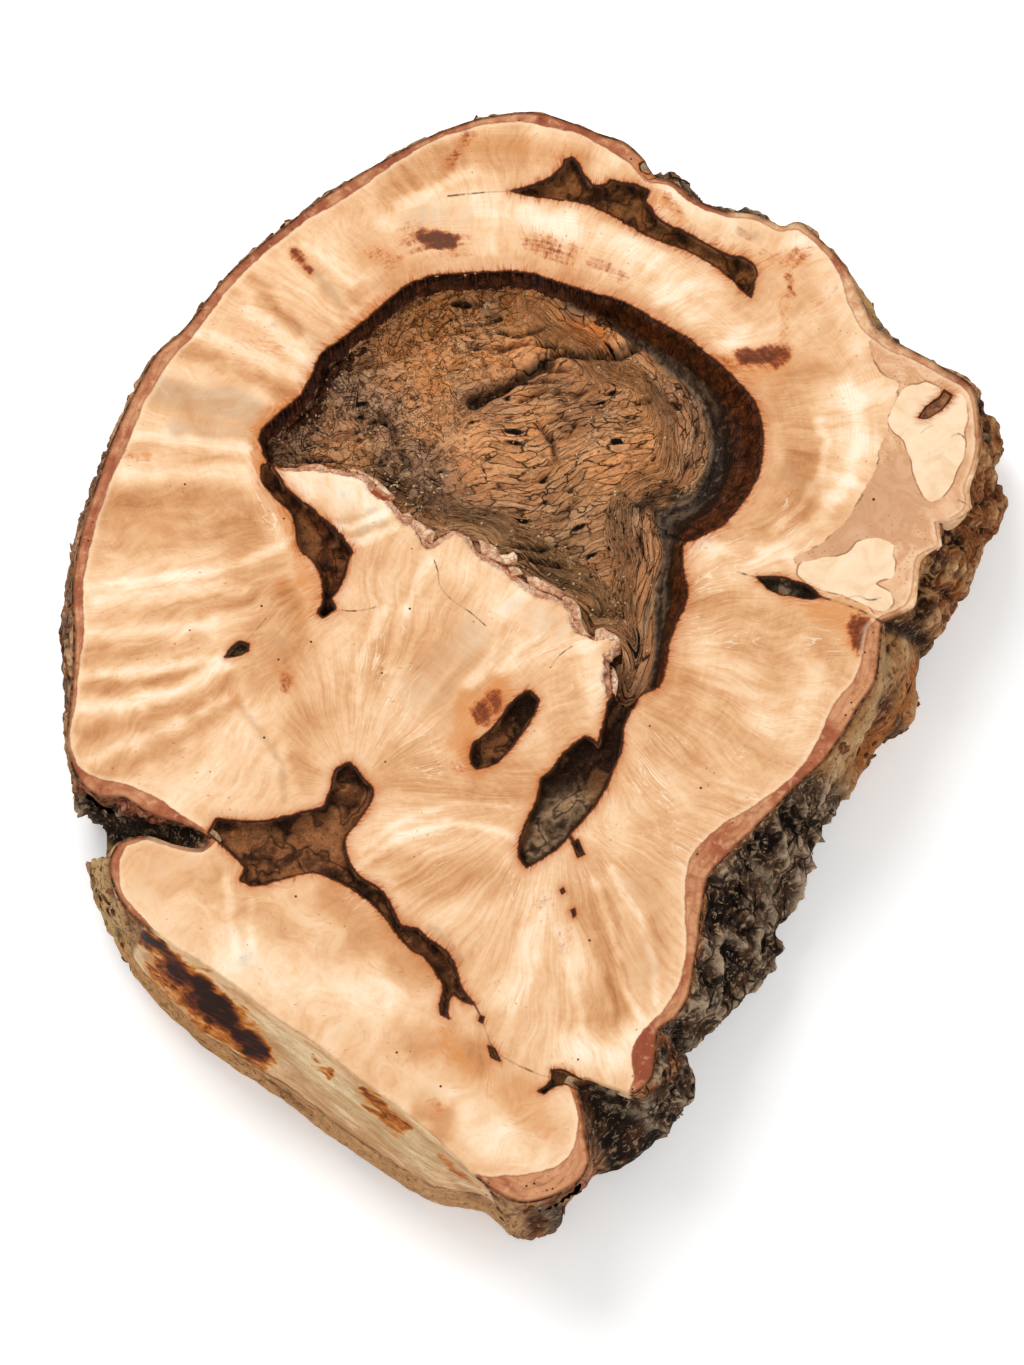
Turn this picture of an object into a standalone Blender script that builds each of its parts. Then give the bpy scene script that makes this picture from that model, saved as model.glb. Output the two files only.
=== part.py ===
"""A thick slab of maple burl, sawn across, with its bark on and a weathered hollow in its face.

Run with: blender --background --python part.py

The slab lies on its flat underside with its sawn face up. The outlines below are read from the
photograph, in its pixels, and every one is laid out at its real size along the photograph's own
lines of sight, which look along +Y and down. The origin is under the middle of the slab.
"""
import math

import bmesh
import bpy
from mathutils import Vector, noise

# Driving dimensions, in metres
THICKNESS = 0.070
HOLLOW_DEPTH = 0.024
POCKET_DEPTH = 0.016
PIT_DEPTH = 0.006
GIRTH_HEIGHT = 0.0245
FACET_FOOT_HEIGHT = 0.042
FOOT_INSET = 0.007
WALL_STEP = 0.0046
FLOOR_STEP = 0.0046
RISE_ABOVE_FACE = 0.006

# How the photograph sees the slab
METRES_PER_PIXEL = 0.00036
CENTRE_PIXEL = (536.0, 623.0)
VIEW_ELEVATION = math.radians(70.0)
VIEW_DISTANCE = 1.8

# How much of the sideways lean of the line of sight is taken out again on the side away from the eye
HIDDEN_SIDE_UPRIGHT = 0.75

# Height of the bark's relief, in metres, and the size of its lumps, for each kind of bark
RELIEF = {
    "thin": (0.0007, 0.016),
    "lumpy": (0.0022, 0.020),
    "furrowed": (0.0026, 0.013),
    "knobs": (0.0042, 0.012),
    "cleft": (0.0010, 0.010),
    "sawn": (0.0008, 0.018),
}

# Levels of the wall, as fractions of the thickness
LEVELS = (1.0, 0.95, 0.86, 0.74, 0.60, 0.47, 0.35, 0.22, 0.09, 0.0)

# Round the slab, clockwise from the top of the photograph: the face's edge, the girth (on the sawn
# facet, the facet's lower edge) and the kind of bark
OUTLINE = (
    ((521, 112), (521, 110), "thin"),
    ((545, 114), (546, 112), "thin"),
    ((570, 122), (570, 120), "thin"),
    ((598, 133), (598, 131), "thin"),
    ((624, 142), (624, 140), "thin"),
    ((640, 155), (642, 153), "thin"),
    ((656, 177), (655, 163), "knobs"),
    ((672, 181), (670, 166), "furrowed"),
    ((696, 199), (697, 182), "furrowed"),
    ((725, 211), (727, 197), "furrowed"),
    ((756, 215), (758, 212), "furrowed"),
    ((782, 226), (784, 222), "thin"),
    ((800, 223), (802, 221), "thin"),
    ((823, 242), (826, 241), "thin"),
    ((846, 267), (850, 269), "thin"),
    ((860, 296), (868, 292), "knobs"),
    ((873, 324), (886, 317), "knobs"),
    ((893, 340), (899, 339), "thin"),
    ((934, 362), (938, 361), "thin"),
    ((972, 386), (976, 385), "thin"),
    ((979, 411), (987, 409), "knobs"),
    ((982, 437), (1001, 441), "knobs"),
    ((978, 464), (991, 464), "knobs"),
    ((970, 489), (998, 490), "knobs"),
    ((972, 508), (1001, 508), "knobs"),
    ((958, 519), (996, 525), "knobs"),
    ((939, 523), (984, 537), "knobs"),
    ((942, 546), (978, 556), "knobs"),
    ((922, 560), (968, 580), "knobs"),
    ((918, 584), (957, 602), "knobs"),
    ((914, 607), (944, 628), "knobs"),
    ((883, 622), (921, 652), "cleft"),
    ((882, 630), (921, 657), "lumpy"),
    ((880, 656), (920, 670), "lumpy"),
    ((875, 684), (918, 692), "lumpy"),
    ((860, 706), (904, 718), "lumpy"),
    ((847, 728), (879, 739), "lumpy"),
    ((825, 760), (858, 778), "lumpy"),
    ((797, 786), (832, 804), "furrowed"),
    ((773, 811), (816, 838), "furrowed"),
    ((748, 836), (804, 873), "furrowed"),
    ((726, 857), (790, 902), "furrowed"),
    ((709, 877), (779, 928), "furrowed"),
    ((703, 903), (777, 955), "furrowed"),
    ((700, 932), (756, 980), "furrowed"),
    ((695, 963), (735, 1002), "furrowed"),
    ((689, 997), (716, 1021), "furrowed"),
    ((675, 1019), (697, 1039), "furrowed"),
    ((659, 1030), (677, 1046), "cleft"),
    ((656, 1056), (686, 1062), "furrowed"),
    ((651, 1080), (688, 1084), "furrowed"),
    ((634, 1095), (682, 1104), "furrowed"),
    ((608, 1088), (668, 1125), "furrowed"),
    ((588, 1080), (652, 1141), "cleft"),
    ((573, 1082), (632, 1157), "cleft"),
    ((581, 1104), (612, 1167), "cleft"),
    ((586, 1133), (598, 1172), "thin"),
    ((590, 1160), (590, 1178), "thin"),
    ((579, 1182), (579, 1190), "thin"),
    ((560, 1194), (567, 1204), "lumpy"),
    ((540, 1201), (564, 1220), "lumpy"),
    ((519, 1203), (545, 1234), "lumpy"),
    ((495, 1192), (516, 1235), "thin"),
    ((474, 1176), (484, 1196), "sawn"),
    ((439, 1141), (432, 1186), "sawn"),
    ((404, 1112), (397, 1165), "sawn"),
    ((356, 1078), (344, 1130), "sawn"),
    ((315, 1045), (301, 1096), "sawn"),
    ((273, 1017), (256, 1066), "sawn"),
    ((235, 987), (213, 1040), "sawn"),
    ((198, 962), (178, 1010), "sawn"),
    ((160, 938), (146, 975), "sawn"),
    ((130, 914), (113, 938), "thin"),
    ((114, 889), (93, 890), "thin"),
    ((109, 864), (87, 862), "thin"),
    ((120, 842), (99, 849), "thin"),
    ((147, 836), (104, 846), "cleft"),
    ((176, 845), (106, 843), "cleft"),
    ((200, 848), (108, 840), "cleft"),
    ((212, 838), (109, 836), "cleft"),
    ((202, 832), (108, 832), "cleft"),
    ((186, 826), (105, 828), "cleft"),
    ((162, 819), (100, 824), "furrowed"),
    ((143, 811), (94, 818), "furrowed"),
    ((124, 799), (86, 811), "furrowed"),
    ((98, 797), (78, 799), "furrowed"),
    ((83, 786), (72, 786), "thin"),
    ((72, 767), (69, 765), "thin"),
    ((67, 740), (66, 740), "thin"),
    ((69, 708), (65, 708), "thin"),
    ((73, 666), (62, 664), "thin"),
    ((73, 628), (61, 632), "thin"),
    ((72, 585), (67, 588), "thin"),
    ((81, 533), (77, 539), "thin"),
    ((98, 479), (91, 495), "thin"),
    ((113, 438), (110, 446), "thin"),
    ((131, 399), (130, 402), "thin"),
    ((156, 354), (149, 359), "thin"),
    ((184, 329), (180, 329), "thin"),
    ((231, 271), (229, 269), "thin"),
    ((294, 219), (295, 216), "thin"),
    ((332, 191), (325, 192), "thin"),
    ((377, 164), (370, 166), "thin"),
    ((428, 137), (427, 135), "thin"),
    ((477, 119), (477, 117), "thin"),
)

# The rim of the hollow, clockwise from its left tip, with the run of its wall towards the middle of
# the hollow as the photograph shows it; a run of NEAR_RUN or less is a wall hidden from the eye
HOLLOW_RIM = (
    ((260, 435), 12), ((278, 415), 16), ((303, 393), 18), ((314, 372), 16), ((322, 354), 16),
    ((352, 332), 20), ((386, 304), 26), ((406, 287), 26), ((430, 277), 26), ((470, 274), 24),
    ((512, 272), 22), ((540, 277), 22), ((570, 287), 26), ((598, 295), 30), ((627, 305), 34),
    ((657, 322), 40), ((686, 338), 44), ((719, 365), 50), ((738, 383), 52), ((754, 403), 54),
    ((762, 430), 56), ((761, 458), 54), ((754, 482), 50), ((739, 505), 44), ((721, 525), 40),
    ((700, 536), 40), ((683, 543), 38), ((681, 560), 36), ((686, 594), 38), ((678, 618), 38),
    ((669, 640), 32), ((664, 668), 26), ((659, 685), 16), ((645, 692), 8), ((630, 700), 4),
    ((615, 694), 4), ((612, 678), 4), ((609, 660), 4), ((621, 652), 4), ((619, 638), 4),
    ((606, 627), 4), ((595, 632), 4), ((581, 628), 4), ((577, 610), 4), ((566, 597), 4),
    ((548, 590), 4), ((531, 580), 4), ((513, 569), 4), ((497, 556), 4), ((478, 548), 4),
    ((470, 532), 4), ((452, 528), 4), ((430, 538), 4), ((418, 521), 4), ((401, 510), 4),
    ((391, 497), 4), ((377, 486), 4), ((366, 472), 4), ((344, 467), 4), ((324, 460), 4),
    ((300, 461), 4), ((281, 463), 4), ((269, 466), 4), ((264, 452), 6),
)
HOLLOW_MIDDLE = (560, 420)
NEAR_RUN = 8
NEAR_WALL_RUN = 0.0025
RIM_STEPS = 2

# Long slits in the hollow's floor, from end to end, with their depth and half width in metres
FLOOR_SLITS = (((478, 402), (548, 364)), ((530, 338), (662, 346)), ((345, 425), (405, 470)))
SLIT_DEPTH = 0.005
SLIT_HALF_WIDTH = 0.004

# Dark pockets and splits where bark was grown over: outline and depth
POCKETS = {
    "left_gap": (POCKET_DEPTH, (
        (263, 482), (278, 500), (291, 511), (296, 530), (300, 549), (313, 560), (322, 580), (323, 603),
        (317, 613), (323, 617), (336, 609), (331, 598), (342, 582), (347, 562), (352, 552), (340, 535),
        (322, 518), (305, 504), (288, 490), (277, 474), (270, 462), (262, 466))),
    "left_pit": (PIT_DEPTH, (
        (225, 657), (231, 647), (240, 641), (249, 644), (248, 651), (237, 656))),
    "fork": (POCKET_DEPTH, (
        (208, 833), (216, 819), (237, 821), (267, 821), (297, 814), (324, 807), (331, 789), (336, 771),
        (350, 762), (361, 776), (372, 789), (367, 808), (353, 826), (345, 840), (348, 860), (362, 879),
        (380, 890), (391, 907), (401, 927), (415, 928), (427, 938), (446, 952), (457, 972), (461, 989),
        (474, 1004), (462, 1000), (454, 992), (447, 1004), (449, 1019), (441, 1014), (441, 1001),
        (444, 986), (436, 972), (425, 957), (408, 946), (398, 934), (388, 920), (375, 906), (356, 891),
        (336, 880), (314, 872), (294, 875), (272, 881), (252, 885), (241, 880), (246, 868), (233, 854),
        (221, 843))),
    "boat": (POCKET_DEPTH, (
        (529, 690), (538, 700), (533, 715), (521, 734), (507, 752), (495, 763), (477, 768), (471, 764),
        (473, 745), (488, 733), (503, 715), (514, 700))),
    "keel": (POCKET_DEPTH, (
        (616, 684), (646, 686), (634, 703), (628, 716), (623, 730), (622, 745), (617, 760), (605, 788),
        (593, 807), (573, 830), (557, 848), (540, 859), (527, 867), (520, 857), (520, 841), (529, 818),
        (538, 797), (542, 778), (552, 770), (563, 755), (583, 737), (592, 739), (598, 746), (601, 734),
        (605, 719), (608, 705))),
    "slot": (PIT_DEPTH, ((573, 843), (578, 840), (584, 854), (578, 857))),
    "lower_split": (PIT_DEPTH, (
        (538, 1091), (548, 1085), (552, 1078), (551, 1070), (562, 1070), (576, 1077), (592, 1086),
        (580, 1092), (566, 1084), (555, 1086), (544, 1093))),
    "top_split": (POCKET_DEPTH, (
        (512, 191), (532, 186), (548, 179), (563, 167), (565, 160), (572, 157), (578, 164), (584, 175),
        (593, 186), (607, 185), (611, 180), (622, 183), (636, 185), (649, 191), (645, 202), (651, 208),
        (655, 216), (667, 225), (683, 231), (699, 240), (717, 250), (730, 256), (746, 259), (756, 269),
        (754, 283), (751, 297), (744, 291), (734, 281), (720, 269), (703, 258), (683, 248), (662, 241),
        (642, 232), (626, 223), (607, 212), (581, 202), (560, 199), (530, 195))),
    "right_split": (PIT_DEPTH, (
        (757, 577), (772, 577), (786, 578), (797, 582), (809, 586), (821, 597), (808, 599), (795, 596),
        (780, 594), (768, 588))),
    "lobe_slot": (PIT_DEPTH, (
        (919, 417), (925, 408), (940, 397), (944, 390), (952, 395), (948, 402), (938, 412), (926, 418))),
}


def clear_scene():
    """Removes the objects of an opened scene."""
    for item in list(bpy.data.objects):
        bpy.data.objects.remove(item, do_unlink=True)


def make_collection(name):
    """A new collection in the scene."""
    collection = bpy.data.collections.new(name)
    bpy.context.scene.collection.children.link(collection)
    return collection


def wood_material():
    """The pale sawn maple that covers most of what is seen."""
    material = bpy.data.materials.new("burl_wood")
    material.use_nodes = True
    shader = material.node_tree.nodes["Principled BSDF"]
    shader.inputs["Base Color"].default_value = (0.83, 0.62, 0.40, 1.0)
    shader.inputs["Roughness"].default_value = 0.62
    shader.inputs["Metallic"].default_value = 0.0
    return material


def seen_at(pixel, height):
    """The point at this height that the photograph shows at this pixel."""
    lean = math.cos(VIEW_ELEVATION)
    rise = math.sin(VIEW_ELEVATION)
    centre = Vector((0.0, 0.0, THICKNESS))
    eye = centre + VIEW_DISTANCE * Vector((0.0, -lean, rise))
    across = (pixel[0] - CENTRE_PIXEL[0]) * METRES_PER_PIXEL
    up = (CENTRE_PIXEL[1] - pixel[1]) * METRES_PER_PIXEL
    target = centre + Vector((across, up * rise, up * lean))
    along = (eye.z - height) / (eye.z - target.z)
    return eye + along * (target - eye)


def smooth_step(value):
    """Eases from 0 to 1 while the value goes from 0 to 1."""
    held = min(1.0, max(0.0, value))
    return held * held * (3.0 - 2.0 * held)


def outward(points, index, reach):
    """The level direction out of a clockwise ring of points, averaged over its neighbours."""
    count = len(points)
    chord = points[(index + reach) % count] - points[(index - reach) % count]
    return Vector((-chord.y, chord.x, 0.0)).normalized()


def tangents(points):
    """A tangent for each point of a closed ring, and none where the ring turns sharply."""
    result = []
    for index, point in enumerate(points):
        before = point - points[index - 1]
        after = points[(index + 1) % len(points)] - point
        shorter = min(before.length, after.length)
        straight = (before.normalized() + after.normalized()) / 2.0
        if before.normalized().dot(after.normalized()) < 0.6:
            straight = Vector((0.0, 0.0, 0.0))
        result.append(straight * shorter)
    return result


def blend(start, end, leave, arrive, share):
    """A cubic between two points."""
    square = share * share
    cube = square * share
    return ((2 * cube - 3 * square + 1) * start + (cube - 2 * square + share) * leave
            + (3 * square - 2 * cube) * end + (cube - square) * arrive)


def girth_point(low_pixel, kind, out):
    """The point of a station's girth."""
    if kind == "sawn":
        girth = seen_at(low_pixel, FACET_FOOT_HEIGHT) + 0.001 * out
        girth.z = GIRTH_HEIGHT
        return girth
    lean = (THICKNESS - GIRTH_HEIGHT) / math.tan(VIEW_ELEVATION)
    upright = HIDDEN_SIDE_UPRIGHT * smooth_step(out.y) * lean
    return seen_at(low_pixel, GIRTH_HEIGHT) - Vector((0.0, upright, 0.0))


def station_profiles():
    """For each station, its points from the face's edge down to the foot, at LEVELS."""
    edges = [seen_at(edge, THICKNESS) for edge, _, _ in OUTLINE]
    girths = [girth_point(low_pixel, kind, outward(edges, index, 3))
              for index, (_, low_pixel, kind) in enumerate(OUTLINE)]
    profiles = []
    for index, (edge, girth, (_, low_pixel, kind)) in enumerate(zip(edges, girths, OUTLINE)):
        if kind == "sawn":
            facet_foot = seen_at(low_pixel, FACET_FOOT_HEIGHT)
        else:
            share = (THICKNESS - FACET_FOOT_HEIGHT) / (THICKNESS - GIRTH_HEIGHT)
            facet_foot = edge.lerp(girth, share ** 0.75)
            facet_foot.z = FACET_FOOT_HEIGHT
        out = outward(girths, index, 5)
        profiles.append([wall_point(edge, facet_foot, girth, out, kind, level * THICKNESS) for level in LEVELS])
    return profiles


def wall_point(edge, facet_foot, girth, out, kind, height):
    """The point of one station's wall at a height."""
    if height >= FACET_FOOT_HEIGHT:
        share = (THICKNESS - height) / (THICKNESS - FACET_FOOT_HEIGHT)
        point = edge.lerp(facet_foot, share if kind == "sawn" else share ** 0.8)
    elif height >= GIRTH_HEIGHT:
        point = facet_foot.lerp(girth, (FACET_FOOT_HEIGHT - height) / (FACET_FOOT_HEIGHT - GIRTH_HEIGHT))
    else:
        share = (GIRTH_HEIGHT - height) / GIRTH_HEIGHT
        point = girth - FOOT_INSET * share * share * out
    point.z = height
    return point


def wall_counts(profiles):
    """How many columns of the wall each stretch between two stations takes."""
    counts = []
    for index, profile in enumerate(profiles):
        following = profiles[(index + 1) % len(profiles)]
        length = max((following[level] - profile[level]).length for level in range(len(LEVELS)))
        counts.append(max(1, round(length / WALL_STEP)))
    return counts


def relief_height(point, kind, level):
    """How far the bark stands out at a point of the wall."""
    height, lump = RELIEF[kind]
    bare_facet = kind == "sawn" and level * THICKNESS >= FACET_FOOT_HEIGHT
    if bare_facet or level in (0.0, 1.0):
        return 0.0
    broad = noise.noise(point / lump)
    narrow = noise.noise(Vector((7.0, 3.0, 1.0)) + point / (0.45 * lump))
    return height * (broad + 0.5 * narrow)


def closed_curve(knots, counts):
    """Points on a smooth closed curve through the knots, with a count of steps after each knot."""
    slopes = tangents(knots)
    points = []
    for index, count in enumerate(counts):
        following = (index + 1) % len(knots)
        for step in range(count):
            points.append(blend(knots[index], knots[following], slopes[index], slopes[following], step / count))
    return points


def column_kinds(counts):
    """The kind of bark of each column of the wall: that of the station nearest to it."""
    kinds = []
    for index, count in enumerate(counts):
        following = (index + 1) % len(counts)
        kinds += [OUTLINE[index if 2 * step < count else following][2] for step in range(count)]
    return kinds


def body_rings():
    """The rings of the slab's wall, from the face's edge down to the foot."""
    profiles = station_profiles()
    counts = wall_counts(profiles)
    kinds = column_kinds(counts)
    rings = []
    for level_index, level in enumerate(LEVELS):
        ring = closed_curve([profile[level_index] for profile in profiles], counts)
        rings.append([point + relief_height(point, kind, level) * outward(ring, spot, 2)
                      for spot, (point, kind) in enumerate(zip(ring, kinds))])
    return rings


def loft(name, rings, collection):
    """A closed solid through rings of equal count, each end closed by one flat face."""
    mesh = bmesh.new()
    rows = [[mesh.verts.new(point) for point in ring] for ring in rings]
    for upper, lower in zip(rows, rows[1:]):
        for index in range(len(upper)):
            following = (index + 1) % len(upper)
            mesh.faces.new((upper[index], upper[following], lower[following], lower[index]))
    mesh.faces.new(rows[0])
    mesh.faces.new(rows[-1])
    bmesh.ops.recalc_face_normals(mesh, faces=mesh.faces)
    data = bpy.data.meshes.new(name)
    mesh.to_mesh(data)
    mesh.free()
    item = bpy.data.objects.new(name, data)
    collection.objects.link(item)
    return item


def as_cutter(item):
    """Marks an object as a tool that isn't part of the model."""
    item.hide_render = True
    item.display_type = "WIRE"
    return item


def hollow_cutter(collection):
    """The hollow: its sloping wall, closed below by its uneven floor."""
    middle = seen_at(HOLLOW_MIDDLE, THICKNESS)
    floor_height = THICKNESS - HOLLOW_DEPTH
    below = floor_height - 0.4 * HOLLOW_DEPTH
    rim = []
    foot = []
    for pixel, run in HOLLOW_RIM:
        edge = seen_at(pixel, THICKNESS)
        inward = (middle - edge).normalized()
        if run <= NEAR_RUN:
            low = edge + NEAR_WALL_RUN * inward
        else:
            to_middle = Vector((HOLLOW_MIDDLE[0] - pixel[0], HOLLOW_MIDDLE[1] - pixel[1])).normalized()
            low = seen_at((pixel[0] + run * to_middle.x, pixel[1] + run * to_middle.y), floor_height)
        rim.append(edge)
        foot.append(low)
    steps = [RIM_STEPS] * len(rim)
    rim = closed_curve(rim, steps)
    foot = closed_curve(foot, steps)
    top = [point + Vector((0.0, 0.0, RISE_ABOVE_FACE)) for point in rim]
    knee = [edge.lerp(low, 0.3) for edge, low in zip(rim, foot)]
    for point in knee:
        point.z = THICKNESS - 0.5 * HOLLOW_DEPTH
    for point in foot:
        point.z = floor_height + 0.001
    deep = [Vector((point.x, point.y, below)) for point in foot]
    funnel = as_cutter(loft("hollow_cutter", [top, rim, knee, foot, deep], collection))
    floor = as_cutter(floor_block(collection))
    cut = funnel.modifiers.new("floor", "BOOLEAN")
    cut.operation = "INTERSECT"
    cut.object = floor
    return funnel


def distance_to_line(place, start, end):
    """How far a place is from a straight line between two points."""
    along = end - start
    share = min(1.0, max(0.0, (place - start).dot(along) / along.length_squared))
    return (place - start - share * along).length


def floor_relief(x, y):
    """Height of the weathered floor at a place, above or below its mean."""
    swell = noise.noise(Vector((x, y, 0.0)) / 0.045)
    fibre = noise.noise(Vector((x / 0.016, y / 0.007, 2.0)))
    height = 0.0042 * swell + 0.0026 * fibre
    place = Vector((x, y))
    for ends in FLOOR_SLITS:
        start, end = (seen_at(pixel, THICKNESS - HOLLOW_DEPTH).to_2d() for pixel in ends)
        height -= SLIT_DEPTH * math.exp(-(distance_to_line(place, start, end) / SLIT_HALF_WIDTH) ** 2)
    return height


def floor_block(collection):
    """A block over the hollow whose underside is the weathered floor."""
    corners = [seen_at(pixel, THICKNESS) for pixel, _ in HOLLOW_RIM]
    low_x = min(point.x for point in corners) - 0.01
    high_x = max(point.x for point in corners) + 0.01
    low_y = min(point.y for point in corners) - 0.01
    high_y = max(point.y for point in corners) + 0.02
    columns = round((high_x - low_x) / FLOOR_STEP)
    rows = round((high_y - low_y) / FLOOR_STEP)
    mesh = bmesh.new()
    bmesh.ops.create_grid(mesh, x_segments=columns, y_segments=rows, size=0.5)
    for vert in mesh.verts:
        vert.co.x = low_x + (vert.co.x + 0.5) * (high_x - low_x)
        vert.co.y = low_y + (vert.co.y + 0.5) * (high_y - low_y)
        vert.co.z = THICKNESS - HOLLOW_DEPTH + floor_relief(vert.co.x, vert.co.y)
    rim_edges = [edge for edge in mesh.edges if edge.is_boundary]
    sides = bmesh.ops.extrude_edge_only(mesh, edges=rim_edges)["geom"]
    raised = [item for item in sides if isinstance(item, bmesh.types.BMVert)]
    for vert in raised:
        vert.co.z = THICKNESS + 2.0 * RISE_ABOVE_FACE
    bmesh.ops.holes_fill(mesh, edges=[edge for edge in mesh.edges if edge.is_boundary])
    bmesh.ops.recalc_face_normals(mesh, faces=mesh.faces)
    data = bpy.data.meshes.new("floor_block")
    mesh.to_mesh(data)
    mesh.free()
    item = bpy.data.objects.new("floor_block", data)
    collection.objects.link(item)
    return item


def pocket_cutter(name, depth, outline, collection):
    """An upright prism on a pocket's outline, from above the face down to the pocket's depth."""
    points = [seen_at(pixel, THICKNESS) for pixel in outline]
    top = [Vector((point.x, point.y, THICKNESS + RISE_ABOVE_FACE)) for point in points]
    bottom = [Vector((point.x, point.y, THICKNESS - depth)) for point in points]
    return as_cutter(loft(f"{name}_cutter", [top, bottom], collection))


def cut_with(body, cutter):
    """Cuts the body by a cutter."""
    cut = body.modifiers.new(cutter.name, "BOOLEAN")
    cut.operation = "DIFFERENCE"
    cut.object = cutter


def build_burl():
    """The slab of burl: wood, bark, hollow and pockets in one solid."""
    model = make_collection("maple_burl")
    cutters = make_collection("cutters")
    burl = loft("burl", body_rings(), model)
    burl.data.materials.append(wood_material())
    cut_with(burl, hollow_cutter(cutters))
    for name, (depth, outline) in POCKETS.items():
        cut_with(burl, pocket_cutter(name, depth, outline, cutters))


clear_scene()
build_burl()
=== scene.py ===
"""The finish of a thick sawn slab of maple burl: sawn face, weathered hollow, bark and studio."""
import functools
import itertools
import math

import bpy
import numpy as np
from bpy.props import FloatProperty, FloatVectorProperty, IntProperty, PointerProperty
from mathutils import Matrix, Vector
from mathutils.geometry import delaunay_2d_cdt


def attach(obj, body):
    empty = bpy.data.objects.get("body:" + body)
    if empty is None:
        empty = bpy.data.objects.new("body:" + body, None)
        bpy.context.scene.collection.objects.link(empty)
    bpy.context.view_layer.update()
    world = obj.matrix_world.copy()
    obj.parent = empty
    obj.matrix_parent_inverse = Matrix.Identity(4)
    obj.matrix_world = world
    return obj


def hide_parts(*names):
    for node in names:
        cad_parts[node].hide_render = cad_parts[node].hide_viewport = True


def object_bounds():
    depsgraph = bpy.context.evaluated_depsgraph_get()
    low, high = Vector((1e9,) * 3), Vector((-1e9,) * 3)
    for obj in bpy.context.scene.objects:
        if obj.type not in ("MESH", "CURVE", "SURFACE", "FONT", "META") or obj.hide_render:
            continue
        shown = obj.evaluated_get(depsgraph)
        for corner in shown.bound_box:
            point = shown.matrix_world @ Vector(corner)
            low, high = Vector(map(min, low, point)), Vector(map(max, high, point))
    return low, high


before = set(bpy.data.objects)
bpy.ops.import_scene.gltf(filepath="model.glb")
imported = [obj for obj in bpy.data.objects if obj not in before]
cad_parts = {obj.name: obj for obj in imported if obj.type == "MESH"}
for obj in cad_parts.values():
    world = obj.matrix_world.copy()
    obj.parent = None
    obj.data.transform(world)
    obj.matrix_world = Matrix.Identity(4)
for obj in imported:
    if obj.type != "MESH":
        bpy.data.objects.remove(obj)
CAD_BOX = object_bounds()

bl_info = {
    "name": "Maple burl slab",
    "version": (1, 0, 0),
    "blender": (4, 5, 0),
    "location": "View3D > Sidebar > Burl",
    "description": "Builds the sawn wood, hollow, bark and studio of a slab of maple burl",
    "category": "Object",
}

# The slab, in metres, from the frame and as its solid is built
THICKNESS = CAD_BOX[1][2]
HOLLOW_DEPTH = 0.024
GIRTH_HEIGHT = 0.0245
FACET_FOOT_HEIGHT = 0.042
FOOT_INSET = 0.007
HIDDEN_SIDE_UPRIGHT = 0.75

# How the photograph sees the slab
METRES_PER_PIXEL = 0.00036
CENTRE_PIXEL = (536.0, 623.0)
VIEW_ELEVATION = math.radians(70.0)
VIEW_DISTANCE = 1.8
PHOTO_WIDTH = 1024
PHOTO_HEIGHT = 1365
SENSOR_WIDTH = 36.0

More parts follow.
